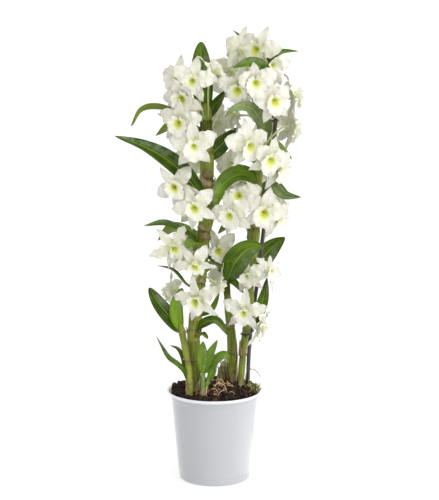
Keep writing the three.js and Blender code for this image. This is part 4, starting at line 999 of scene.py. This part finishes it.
def add_young_shoot():
    build = Build()
    curves = [stem_curve(stem["points"], STEM_DEPTH - 8) for stem in SHOOT_STEMS]
    for stem, curve in zip(SHOOT_STEMS, curves):
        share = np.linspace(0, 1, 40)
        radius = radius_at(stem["radii"], share) * (1 + 0.05 * np.sin(share * 30))
        tones = tone_grid(share[:, None], np.linspace(0, 1, 16)[None], 0.6, 0)
        tube(build, curve.at(share), radius, tones, 16)
    for *leaf, points in SHOOT_LEAVES:
        add_leaf(build, *leaf, points, rng.uniform(0.0, 0.6))
    for stem, curve in zip(SHOOT_STEMS, curves):
        for strip in SHOOT_STRIPS:
            add_strip(build, curve, stem["radii"], *strip, 130, 0.6, 0.4, finish=1)
    build.make("young_shoot_plant", [YOUNG_SKIN, SHEATH], "shoot_green", ["young_shoot"])


# ---------------- blooms

UPWARD = np.array([0, 0, 1.0])
HUB_RADIUS, HUB_HALF = 4.4, 1.3
HUB_FLAT = HUB_RADIUS * math.cos(math.radians(36))    # from its middle to the middle of a side
HUB_PROFILE = [
    [0.5, -2.6], [2.2, -2.3], [3.6, -1.4], [4.3, -0.2], [4.3, 0.9], [3.7, 1.6], [1.5, 1.9], [0.3, 2.0],
]
TEPAL_HALF_THICK = 0.425         # in the frame
TEPAL_BENDS = [0, -12, 12, -24, 24, -36, 36, -48, 48, -60, 60]
TEPAL_REACHES = [1, 0.84, 0.68, 0.52]
# Length to cup are sizes and angles. Full and blunt shape the outline, and ripple and waves the edge.
SEPAL = {
    "length": 28, "half": 6.9, "lean": 8, "curl": 24, "stations": [0.36, 0.72, 1], "cup": 0.34,
    "full": 0.8, "blunt": 0.86, "ripple": (0.6, 1.6), "waves": 1.8,
}
PETAL = {
    "length": 27.5, "half": 10.9, "lean": 12, "curl": 26, "stations": [0.42, 0.8, 1], "cup": 0.2,
    "full": 0.88, "blunt": 0.74, "ripple": (1.5, 3.0), "waves": 2.7,
}
TEPALS = [(SEPAL, 90), (PETAL, 162), (SEPAL, 234), (SEPAL, 306), (PETAL, 18)]
TEPAL_ROWS, TEPAL_COLUMNS = 22, 13
LIP_ROWS, LIP_COLUMNS = 20, 54


def facing_of(bloom):
    azimuth, elevation = math.radians(bloom[4]), math.radians(bloom[5])
    level = math.cos(elevation)
    return np.array([math.sin(azimuth) * level, -math.cos(azimuth) * level, math.sin(elevation)])


class Pose:
    """Where a bloom stands: turns points of the bloom's own frame into the plant's."""

    def __init__(self, bloom):
        facing = facing_of(bloom)
        right = unit(np.cross(UPWARD, facing))
        roll = math.radians(bloom[6])
        cos, sin = math.cos(roll), math.sin(roll)
        turn = np.array([[cos, sin, 0], [-sin, cos, 0], [0, 0, 1]])
        self.axes = turn @ np.array([right, np.cross(facing, right), facing]) * bloom[7]
        self.place = np.array(bloom[1:4], float)

    def __call__(self, points):
        return np.asarray(points, float) @ self.axes + self.place


def node_points(name):
    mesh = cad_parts[name].data
    corners = np.empty(len(mesh.vertices) * 3)
    mesh.vertices.foreach_get("co", corners)
    return corners.reshape(-1, 3) / MM


def tip_of(form, angle, bend, reach):
    """The two corners of a frame tepal's tip."""
    out = level_way(math.radians(angle))
    tip = out * HUB_FLAT
    previous = 0
    for share in form["stations"]:
        slope = math.radians(form["lean"] + bend - form["curl"] * share)
        step = (share - previous) * form["length"] * reach
        tip = tip + (out * math.cos(slope) + UPWARD * math.sin(slope)) * step
        previous = share
    normal = UPWARD * math.cos(slope) - out * math.sin(slope)
    return [tip + normal * TEPAL_HALF_THICK, tip - normal * TEPAL_HALF_THICK]


def tepal_poses(pose, corners, cup):
    """The bend and reach of each tepal of the frame's bloom, found by where its tip is."""
    choices = [(cup + aside, reach) for reach in TEPAL_REACHES for aside in TEPAL_BENDS]

    def miss(tepal, choice):
        return sum(np.linalg.norm(corners - pose(tip), axis=1).min() for tip in tip_of(*tepal, *choice))

    return [min(choices, key=lambda choice: miss(tepal, choice)) for tepal in TEPALS]


def add_tepal(build, pose, form, angle, bend, reach, slim, own):
    """A sepal or petal, which curls at its tip, twists a little and has rippled edges."""
    s = np.linspace(0, 1, TEPAL_ROWS)
    out = level_way(math.radians(angle))
    across = np.cross(out, UPWARD)
    slope = form["lean"] + bend - form["curl"] * np.minimum(1, s + 0.2)
    slope = np.radians(slope - rng.uniform(-12, 34) * np.clip((s - 0.7) / 0.3, 0, 1) ** 2)
    forward = out * np.cos(slope)[:, None] + UPWARD * np.sin(slope)[:, None]
    normal = UPWARD * np.cos(slope)[:, None] - out * np.sin(slope)[:, None]
    steps = (forward[1:] + forward[:-1]) / 2 * (form["length"] * reach / (TEPAL_ROWS - 1))
    start = out * (HUB_FLAT - 0.8)
    centre = np.vstack([[start], start + np.cumsum(steps, axis=0)])
    centre += across * (rng.uniform(-1.8, 1.8) * s ** 2)[:, None]
    spin = np.radians(rng.uniform(-18, 18)) * s ** 1.5
    aside = turn_about(np.broadcast_to(across, forward.shape), forward, spin)
    normal = turn_about(normal, forward, spin)[:, None]
    s = s[:, None]
    profile = form["half"] * slim * np.clip(np.sin(math.pi * s ** form["full"]), 0, 1) ** form["blunt"]
    half = (profile * math.sqrt(reach) + 2.2 * (1 - s) ** 3).clip(0.14)
    t = np.linspace(-1, 1, TEPAL_COLUMNS)[None]
    rag = 1 + 0.025 * np.sin(2 * math.pi * 5.5 * s + rng.uniform(0, 6)) * np.abs(t) ** 3
    rag = rag + 0.035 * np.sin(2 * math.pi * 2.6 * s + rng.uniform(0, 6) + 2 * np.sign(t)) * np.abs(t)
    amplitude = rng.uniform(*form["ripple"])
    side = np.where(t < 0, rng.uniform(0, 6), rng.uniform(0, 6))
    waves = np.sin(2 * math.pi * form["waves"] * s + side) + 0.22 * np.sin(2 * math.pi * 5.3 * s + 2 * side)
    lift = amplitude * np.abs(t) ** 2.0 * waves * np.sin(math.pi * s) ** 0.6
    cup = form["cup"] * (1 - 1.6 * s) + rng.uniform(-0.06, 0.12)
    lift = lift + cup * half * t ** 2 - 0.5 * np.exp(-(t / 0.14) ** 2)
    grid = centre[:, None] + aside[:, None] * (half * t * rag)[..., None] + normal * lift[..., None]
    thick = normal * ((0.32 - 0.14 * np.abs(t)) * (1.25 - 0.5 * s))[..., None]
    shell(build, pose(grid + thick), pose(grid - thick), tone_grid(s, np.abs(t), own, 0))


def add_lip(build, pose, slim, own):
    """The lip: a funnel with a ruffled mouth and a drooping front lobe, slit over the column."""
    p = np.linspace(0, 1, LIP_ROWS)[:, None]
    gap = 6 + 13 * p ** 2
    turn = np.linspace(1, 0, LIP_COLUMNS)[None]
    theta = np.radians(90 + gap + (360 - 2 * gap) * turn)
    sine = np.sin(theta)
    front = np.exp(-((theta - 1.5 * math.pi) / 0.36) ** 2)
    wide = (12.2 - 4.4 * sine + 1.5 * sine ** 2) * slim + (1.8 + 9 * (1 - slim)) * front
    high = 12.4 + 3.1 * sine - 3.0 * sine ** 2
    throat = np.clip(p / 0.6, 0, 1)
    bowl = np.clip((p - 0.4) / 0.6, 0, 1)
    radius = 0.8 + (wide - 0.8) * p ** 1.05
    height = 2.2 + 6.2 * np.sin(math.pi / 2 * throat) + (high - 8.4) * bowl ** 1.4
    around = theta * rng.choice([7, 8, 9]) + rng.uniform(0, 6)
    ruffle = 1.5 * np.sin(around) + 0.5 * np.sin(2.3 * around + rng.uniform(0, 6))
    height = height + ruffle * bowl ** 2.2
    radius = radius + 0.7 * np.cos(around * 1.7) * bowl ** 4 + 0.3 * np.sin(3.1 * around) * bowl ** 7
    middle = np.stack([radius * np.cos(theta), radius * sine, height], -1)
    normal = unit(np.cross(np.gradient(middle, axis=1), np.gradient(middle, axis=0)))
    thick = normal * (0.32 - 0.14 * p[..., None])
    tones = tone_grid(p, np.abs(turn - 0.5) * 2, own, 0)
    shell(build, pose(middle + thick), pose(middle - thick), tones, finish=1)


def add_heart(build, pose, own):
    """The hub that the petals stand on, its chin, and the column with its cap."""
    green = [0.05, 0.3, own, 1]
    capped(build, [pose(level_ring(radius, height, 18)) for radius, height in HUB_PROFILE], green)
    chin = Curve([[0, -2.2, 0.3], [0, -4, -2], [0, -4.6, -4.6]]).at(np.linspace(0, 1, 7))
    tube(build, pose(chin), [2.6, 2.5, 2.2, 1.9, 1.5, 1.1, 0.7], green, 10)
    lift = np.linspace(0, 1, 8)
    column = Curve([[0, 0.9, 1.2], [0, 2.2, 3.6], [0, 3.4, 5.4]]).at(lift)
    tones = np.stack([lift, 0 * lift, 0 * lift + own, 0 * lift], -1)
    tube(build, pose(column), 1.5 - 0.4 * lift, tones, 12, finish=2)
    cap = Curve([[0, 3.9, 5.2], [0, 3.3, 6.1], [0, 2.5, 6.4]]).at(np.linspace(0, 1, 7))
    tube(build, pose(cap), [0.4, 0.75, 0.95, 1.0, 0.85, 0.6, 0.3], [1, 1, own, 0], 12, finish=2)


PEDICEL_BOWS = [0, 5, -5, 10, -10, 16, -16, 22, -22]
PEDICEL_RINGS = [(1 / 3, 1.333), (2 / 3, 1.517)]    # share and radius of the frame stalk's rings
PEDICEL_ROWS, PEDICEL_SIDES = 23, 10


def nearest_node(curve, bloom):
    places = curve.at(node_places(curve) / curve.length)
    return places[np.argmin(np.abs(places[:, 2] - (bloom[3] - 14)))]


def pedicel_line(curve, bloom, bow, shares):
    facing = facing_of(bloom)
    start = nearest_node(curve, bloom)
    end = np.array(bloom[1:4], float) - facing * (HUB_HALF * bloom[7] + 0.35)
    across = unit(np.array([end[1] - start[1], start[0] - end[0], 0]))
    outward = unit((end - start) * [1, 1, 0])
    first = start + outward * 14 + across * bow + [0, 0, 9]
    second = end - facing * 13 + across * bow
    t = np.asarray(shares, float)[:, None]
    return start * (1 - t) ** 3 + 3 * first * t * (1 - t) ** 2 + 3 * second * t ** 2 * (1 - t) + end * t ** 3


def pedicel_bow(curve, bloom, corners):
    """Which way round the frame's stalk goes: its rings have three corners each."""

    def miss(bow):
        total = 0
        for share, radius in PEDICEL_RINGS:
            centre = pedicel_line(curve, bloom, bow, [share])[0]
            total += np.abs(np.sort(np.linalg.norm(corners - centre, axis=1))[:3] - radius).sum()
        return total

    return min(PEDICEL_BOWS, key=miss)


def add_pedicel(build, curve, bloom, bow):
    line = pedicel_line(curve, bloom, bow, np.linspace(0, 1, PEDICEL_ROWS - 1))
    line = np.vstack([line, line[-1] + facing_of(bloom)])
    share = np.linspace(0, 1, PEDICEL_ROWS)[:, None]
    radius = 1.05 + 0.5 * share ** 2 + 0.45 * np.exp(-((share - 0.93) / 0.08) ** 2)
    radius = radius + 0.5 * np.exp(-(share / 0.06) ** 2)
    angles = circle(PEDICEL_SIDES)[None]
    flutes = 1 + 0.06 * np.cos(3 * angles)
    tube(build, line, radius * flutes, tone_grid(share, angles / (2 * math.pi), 0, 0), PEDICEL_SIDES)


def add_flowers(curves):
    """Each bloom as a piece of its own, and the stalks of a cane as one."""
    skins = [petal_material(), lip_material(), column_material()]
    stalks = {name: (Build(), node_points(name)) for name in (LEFT, RIGHT)}
    for number, bloom in enumerate(BLOOMS, 1):
        name, cup = bloom[0], sum(bloom[8:])
        stalk, corners = stalks[name]
        drawn = float(rng.random())
        own = THROATS.get(number, drawn)
        slim = SLIM_BLOOMS.get(number, rng.uniform(*SLIM_RANGE))
        add_pedicel(stalk, curves[name], bloom, pedicel_bow(curves[name], bloom, corners))
        node = f"bloom_{number:02d}"
        pose = Pose(bloom)
        build = Build()
        bends = tepal_poses(pose, node_points(node), cup)
        for (form, angle), (bend, reach) in zip(TEPALS, bends):
            add_tepal(build, pose, form, angle, bend, reach, slim, own)
        add_lip(build, pose, slim, own)
        add_heart(build, pose, own)
        build.make(f"flower_{number:02d}", skins, "petal_white", [node])
    skin = pedicel_material()
    for name, (stalk, _) in stalks.items():
        stalk.make(name + "_stalks", [skin], "cane_green", [name])


# ---------------- pot and growing medium

POT_PROFILE = [
    [0, 0], [42, 0], [44.1, 0.9], [45, 3], [45.3, 9], [45.75, 9.6], [54.3, 104], [55.2, 104.8], [55.5, 110],
    [58.2, 111], [60, 112.6], [59.8, 114.3], [58.4, 115], [55.7, 112.6], [53.5, 110], [43.4, 4.4],
    [41.5, 2.4], [0, 2.4],
]
POT_SIDES = 144
RIM_PAINTED_LIGHT = (0.1092, 0.1104)      # painted light on the rim: the pot's colour gets lighter between these heights, in metres
HOLE_PLACE, HOLE_RADIUS, HOLE_TURN = 25, 4.5, 45
HOLE_REACH = (-5, 8)
NOTCH_RADIUS, NOTCH_TOP, NOTCH_TURN = 3.6, 1.9, -66
NOTCH_REACH = (41.5, 50)
SOIL_RADIUS = 49
SOIL_SIDES = 200
SOIL_BLOCK = [[41.15, 2.75], [43.05, 4.75], [53.15, 110]]    # the block in the pot: radius and height
SOIL_EDGE, SOIL_BRIM = SOIL_BLOCK[-1]
SOIL_SHOULDER = 1.6              # how far the crust takes to rise from the pot's wall
CRUST_RADII = [*np.linspace(SOIL_EDGE, 1.2, 58)[1:], 0.4]
CHIP = np.array([[x, y, z] for z in (-1, 1) for x, y in ((-1, -1), (1, -1), (1, 1), (-1, 1))], float)
CHIP_COUNT = 2700
CHIP_REACH = 53                  # how far from the middle they lie
CHIP_SIZES = {0.5: 0.34, 0.9: 0.3, 1.6: 0.24, 2.7: 0.12}    # and how many of the chips have each


def rounded(profile, times=2):
    """Cuts each corner of a profile a little, and keeps its ends."""
    line = np.array(profile, float)
    for _ in range(times):
        made = [line[0]]
        for a, b in zip(line[:-1], line[1:]):
            reach = min(0.25, 1.2 / max(np.linalg.norm(b - a), 1e-6))
            made += [a + (b - a) * reach, b - (b - a) * reach]
        made.append(line[-1])
        line = np.array(made[:1] + made[2:-2] + made[-1:])
    return line


def add_pot():
    """The pot as one turned wall, from which its drainage holes and foot notches are cut."""
    build = Build()
    rings = [level_ring(radius, height, POT_SIDES) for radius, height in rounded(POT_PROFILE)[1:-1]]
    capped(build, rings, PLAIN)
    pot = build.make("pot_body", [pot_material()], "pot_plastic", ["pot"], sharp=40)
    cutter = Build()
    for quarter in range(0, 360, 90):
        place = level_way(math.radians(HOLE_TURN + quarter)) * HOLE_PLACE
        hole = [place + UPWARD * height for height in HOLE_REACH]
        tube(cutter, hole, [HOLE_RADIUS] * 2, PLAIN, 28, blunt=0.01)
        out = level_way(math.radians(NOTCH_TURN + quarter))
        notch = [out * reach + UPWARD * (NOTCH_TOP - NOTCH_RADIUS) for reach in NOTCH_REACH]
        tube(cutter, notch, [NOTCH_RADIUS] * 2, PLAIN, 24, blunt=0.01)
    tool = add_object("pot_cutter", cutter.mesh("pot_cutter"))
    cut = pot.modifiers.new("holes", "BOOLEAN")
    cut.object = tool
    cut.solver = "EXACT"
    bpy.context.view_layer.update()
    done = bpy.data.meshes.new_from_object(pot.evaluated_get(bpy.context.evaluated_depsgraph_get()))
    pot.modifiers.clear()
    pot.data = done
    bpy.data.objects.remove(tool)


def soil_height(x, y):
    spread = np.minimum(1, np.hypot(x, y) / SOIL_RADIUS)
    lumps = 1.3 * np.sin(0.31 * x + 1.3) * np.cos(0.27 * y) + 0.9 * np.sin(0.13 * x - 0.23 * y + 0.6)
    return 114.4 + 6.5 * (1 - spread ** 2) + lumps


def on_soil(x, y, sink=0.0):
    return [x, y, float(soil_height(x, y)) - sink]


def roughness_at(x, y):
    clods = noise.fractal((x * 0.16, y * 0.16, 3.0), 0.8, 2.1, 4)
    return 1.5 * clods + 0.6 * noise.noise((x * 0.9, y * 0.9, 7.0))


def add_soil(build):
    """The mix's own body: a lumpy crust over the block that fills the pot."""
    rings = [level_ring(radius, height, SOIL_SIDES) for radius, height in SOIL_BLOCK]
    for k, radius in enumerate(CRUST_RADII, 1):
        ring = level_ring(radius, SOIL_BRIM, SOIL_SIDES)
        x, y, _ = ring.T
        ring[:, 2] += (soil_height(x, y) - SOIL_BRIM) * min(1, (SOIL_EDGE - radius) / SOIL_SHOULDER)
        ring[:, 2] += np.array([roughness_at(*place) for place in zip(x, y)]) * min(1, k / 3)
        rings.append(ring)
    capped(build, rings, [0.2, 0, 0.2, 0])


def random_turn():
    w, x, y, z = unit(rng.normal(size=4))
    return np.array([
        [1 - 2 * (y * y + z * z), 2 * (x * y - w * z), 2 * (x * z + w * y)],
        [2 * (x * y + w * z), 1 - 2 * (x * x + z * z), 2 * (y * z - w * x)],
        [2 * (x * z - w * y), 2 * (y * z + w * x), 1 - 2 * (x * x + y * y)],
    ])


def random_place(reach):
    """A place anywhere in a circle round the pot's middle."""
    radius, angle = reach * math.sqrt(rng.random()), rng.uniform(0, 2 * math.pi)
    return radius * math.cos(angle), radius * math.sin(angle)


def add_chips(build):
    """Bark chips and crumbs of peat, sunk a little into the crust."""
    for _ in range(CHIP_COUNT):
        x, y = random_place(CHIP_REACH)
        size = rng.choice(list(CHIP_SIZES), p=list(CHIP_SIZES.values())) * rng.uniform(0.7, 1.3)
        reach = np.array([1, rng.uniform(0.5, 0.9), rng.uniform(0.3, 0.6)]) * size
        corners = (CHIP + rng.uniform(-0.4, 0.4, CHIP.shape)) * reach @ random_turn().T
        corners = corners + on_soil(x, y, -size * rng.uniform(-0.1, 0.5))
        warm = rng.random() ** 4
        capped(build, corners.reshape(2, 4, 3), [rng.random(), warm, rng.random(), 0])


def add_growing_medium():
    build = Build()
    add_soil(build)
    add_chips(build)
    build.make("growing_medium_mix", [bark_material()], "bark_mix", ["growing_medium"], sharp=35)


# ---------------- roots, fibres, moss and old bulb

ROOT_RADIUS, ROOT_SINK = 0.9, 3.5
HUSK_COUNT = 34                  # loose fibres on the old bulb
HUSK_RADIUS, HUSK_HEIGHTS = 6.8, (116, 138)
FIBRE_COUNT, FIBRE_REACH = 110, 48
MOSS_COUNT = 90
MOSS_TAPER = np.array([0.3, 0.45, 0.5, 0.5, 0.45, 0.3, 0.12])
# How threads are drawn: length, arch, radius, sink of both ends, power and share of the tone, sway,
# steps, and how far from the middle they may lie.
TUFT = [(4, 14), (1.5, 6), (0.25, 0.65), (1, 1.5), (2, 0.8), 4, 14, 50]
PEAT = [(3, 9), (0, 1.6), (0.15, 0.35), (-0.2, -0.2), (1, 1), 2, 8, FIBRE_REACH]


def add_thread(build, start, end, arch, radius, tone, sway=2.0, steps=14):
    """A thin root or fibre between two points, over the surface."""
    share = np.linspace(0, 1, steps)
    start, end = np.array(start, float), np.array(end, float)
    bulge = np.sin(math.pi * share)
    side = unit(np.cross(end - start, UPWARD))
    aside = sway * rng.uniform(-1, 1) * bulge + 0.25 * sway * np.sin(share * rng.uniform(6, 12))
    line = start + (end - start) * share[:, None] + side * aside[:, None]
    line[:, 2] += arch * bulge
    width = radius * (1 - 0.35 * share) * (1 + 0.12 * np.sin(share * 19))
    tube(build, line, width, [tone, 0, 0, 0], 6)


def add_random_thread(build, x, y, length, arch, radius, sinks, age, sway, steps, limit):
    """A thread that lies in a random direction, where both its ends are on the mix."""
    angle, reach = rng.uniform(0, 2 * math.pi), rng.uniform(*length)
    far_x, far_y = x + reach * math.cos(angle), y + reach * math.sin(angle)
    if max(math.hypot(x, y), math.hypot(far_x, far_y)) < limit:
        add_thread(build, on_soil(x, y, sinks[0]), on_soil(far_x, far_y, sinks[1]), rng.uniform(*arch),
                   rng.uniform(*radius), rng.random() ** age[0] * age[1], sway, steps)


def add_old_bulb():
    """A shrivelled bulb with loose fibres round it."""
    build = Build()
    share = np.linspace(0, 1, 50)
    around = np.linspace(0, 1, 32, endpoint=False)
    shrivel = 1 + 0.05 * np.cos(2 * math.pi * 9 * around)[None] * np.sin(math.pi * share)[:, None]
    radius = radius_at(OLD_BULB["radii"], share)[:, None] * shrivel
    tones = tone_grid(share[:, None], around[None], 0, 0)
    tube(build, stem_curve(OLD_BULB["points"], 10).at(share), radius, tones, 32)
    for _ in range(HUSK_COUNT):
        out = level_way(rng.uniform(0, 2 * math.pi))
        base = [*OLD_BULB["points"][2][:2], rng.uniform(*HUSK_HEIGHTS)] + out * HUSK_RADIUS
        tip = base + out * rng.uniform(0.5, 3) + [0, 0, rng.uniform(3, 9)]
        add_thread(build, base, tip, 0.5, 0.28, 0.6, 1.0, 7)
    build.make("old_bulb_husk", [bulb_material()], "dry_sheath", ["old_bulb"])


def add_surface_roots():
    """The thick roots, tufts of fine ones and some loose straws."""
    build = Build()
    for k, (x, y, arch) in enumerate(ROOT_ENDS):
        share = np.linspace(0, 1, 30)
        bulge = np.sin(math.pi * share)
        sway = 3 * bulge * (1 if k % 2 else -1)
        px = ROOT_CROWN[0] + (x - ROOT_CROWN[0]) * share + sway
        py = ROOT_CROWN[1] + (y - ROOT_CROWN[1]) * share + sway * 0.6
        line = np.stack([px, py, soil_height(px, py) - ROOT_SINK + (ROOT_SINK + arch) * bulge], -1)
        tube(build, line, ROOT_RADIUS * (1 + 0.1 * np.sin(share * 40 + k)), [0.08 * k, 0, 0, 0], 10)
    for middle, spread, count in ROOT_TUFTS:
        for _ in range(count):
            add_random_thread(build, *(middle + rng.normal(size=2) * spread), *TUFT)
    for thread in LOOSE_THREADS:
        add_thread(build, *thread, sway=1.5)
    build.make("surface_roots_tangle", [FIBRE], "root_tan", ["surface_roots"])


def add_peat_fibres():
    build = Build()
    for _ in range(FIBRE_COUNT):
        add_random_thread(build, *random_place(FIBRE_REACH), *PEAT)
    build.make("peat_fibres", [FIBRE], "root_tan")


def add_moss():
    build = Build()
    for _ in range(MOSS_COUNT):
        base = np.array(on_soil(*(MOSS_TUFT + rng.normal(size=2) * MOSS_SPREAD), 0.5))
        out = rng.normal(size=3) * [1, 1, 0.4] + [0, 0, 1.2]
        tip = base + unit(out) * rng.uniform(3, 13)
        line = np.linspace(base, tip, 7) + np.cumsum(rng.normal(size=(7, 3)), axis=0) * 0.3
        tube(build, line, MOSS_TAPER * rng.uniform(0.7, 1.5), [rng.random(), 0, 0, 0], 6)
    build.make("moss_tuft", [moss_material()], "shoot_green")


# ---------------- stake, clip and ties

CLIP_TILT = math.radians(32)
CLIP_LIFT = 0.35 + 2.9 + STAKE_RADIUS * math.tan(CLIP_TILT) + 0.2    # from the stake's top to its middle
CLIP_PROFILE = [                 # the barrel: length along it, radius
    (-6, 2.2), (-5.7, 2.8), (-4.6, 2.9), (-4.3, 2.4), (-3.4, 2.3), (0, 2.3), (3.2, 2.3), (3.6, 2.9),
    (4.4, 3.0), (5.4, 2.8), (6, 1.8),
]
WIRE_RADIUS, WIRE_SIDES = 0.8, 8
WIRE_CLEARANCE = 1.15            # from the grip to the wire's middle
TIE_STEPS = 72
TWIST_STEPS, TWIST_SPREAD, TWIST_WIRE = 26, 0.55, 0.45
TWIST_TURN, TWIST_QUARTER = 14, 1.57     # radians that each end turns, and from which it starts
TWIST_LENGTH, TWIST_DROP = 4.5, 2.0


def add_stake():
    build = Build()
    share = np.linspace(0, 1, 120)
    bumps = 1 + 0.03 * np.sin(share * 160)[:, None] * np.cos(2 * circle(18))[None]
    tube(build, Curve(STAKE_POINTS).at(share), STAKE_RADIUS * bumps, PLAIN, 18, blunt=0.3)
    build.make("support_stake_rod", [DARK_STICK], "stake_dark", ["support_stake"])


def add_clip():
    """A short barrel with a collar at each end, tilted over the stake's top."""
    build = Build()
    axis = np.array([math.cos(CLIP_TILT), 0, math.sin(CLIP_TILT)])
    along, radius = np.array(CLIP_PROFILE).T
    tube(build, STAKE_POINTS[-1] + CLIP_LIFT * UPWARD + axis * along[:, None], radius, PLAIN, 20, blunt=0.1)
    build.make("stake_clip_barrel", [DARK_STICK], "stake_dark", ["stake_clip"], sharp=40)


def hull(points):
    """The outline round points seen from above, counterclockwise."""
    ordered = sorted(points.tolist())

    def half(line):
        chain = []
        for p in line:
            while len(chain) > 1:
                (ax, ay), (bx, by) = chain[-2][:2], chain[-1][:2]
                if (bx - ax) * (p[1] - ay) - (by - ay) * (p[0] - ax) > 0:
                    break
                chain.pop()
            chain.append(p)
        return chain[:-1]

    return np.array(half(ordered) + half(ordered[::-1]))


def add_tie(name, height, cane_grip, stake_grip, material):
    """A wire loop round the right cane and the stake, with its twisted ends."""
    cloud = []
    for curve, grip in ((stem_curve(CANES[RIGHT]["points"]), cane_grip), (Curve(STAKE_POINTS), stake_grip)):
        line = curve.at(np.linspace(0, 1, 400))
        centre = line[np.argmin(np.abs(line[:, 2] - height))]
        cloud.append(centre + level_ring(grip + WIRE_CLEARANCE, 0, 40))
    outline = hull(np.concatenate(cloud))
    loop = np.vstack([outline, outline[:1]])
    gone = np.concatenate([[0], np.cumsum(np.linalg.norm(np.diff(loop, axis=0), axis=1))])
    wanted = np.linspace(0, gone[-1], TIE_STEPS, endpoint=False)
    line = np.stack([np.interp(wanted, gone, loop[:, k]) for k in range(3)], -1)
    out = np.cross(unit(np.roll(line, -1, 0) - np.roll(line, 1, 0)), UPWARD)[:, None]
    angles = circle(WIRE_SIDES)[None, :, None]
    rings = line[:, None] + WIRE_RADIUS * (out * np.cos(angles) - UPWARD * np.sin(angles))
    faces = grid_faces(TIE_STEPS, WIRE_SIDES, wrap=True).tolist()
    last = (TIE_STEPS - 1) * WIRE_SIDES
    for k in range(WIRE_SIDES):
        turn = (k + 1) % WIRE_SIDES
        faces.append([last + k, last + turn, turn, k])
    build = Build()
    build.add(rings, faces, PLAIN)
    knot = line[np.argmin(line[:, 1])]
    t = np.linspace(0, 1, TWIST_STEPS)
    for side in (-1, 1):
        coil = t * TWIST_TURN + side * TWIST_QUARTER
        twist = [TWIST_SPREAD * np.cos(coil), -TWIST_LENGTH * t, TWIST_SPREAD * np.sin(coil) - TWIST_DROP * t]
        tube(build, knot + np.stack(twist, -1), np.full(TWIST_STEPS, TWIST_WIRE), PLAIN, 6)
    build.make(name + "_wire", [material], "tie_wire", [name])


# ---------------- assembly

add_camera()
add_studio()
add_pot()
curves = {name: add_cane(name) for name in CANES}
for name, curve in curves.items():
    add_leaves(name, curve)
add_flowers(curves)
add_dry_sheaths(curves)
add_young_shoot()
add_old_bulb()
add_surface_roots()
add_growing_medium()
add_peat_fibres()
add_moss()
add_stake()
add_clip()
wire = wire_material()
for tie in TIES:
    add_tie(*tie, wire)
add_floor()
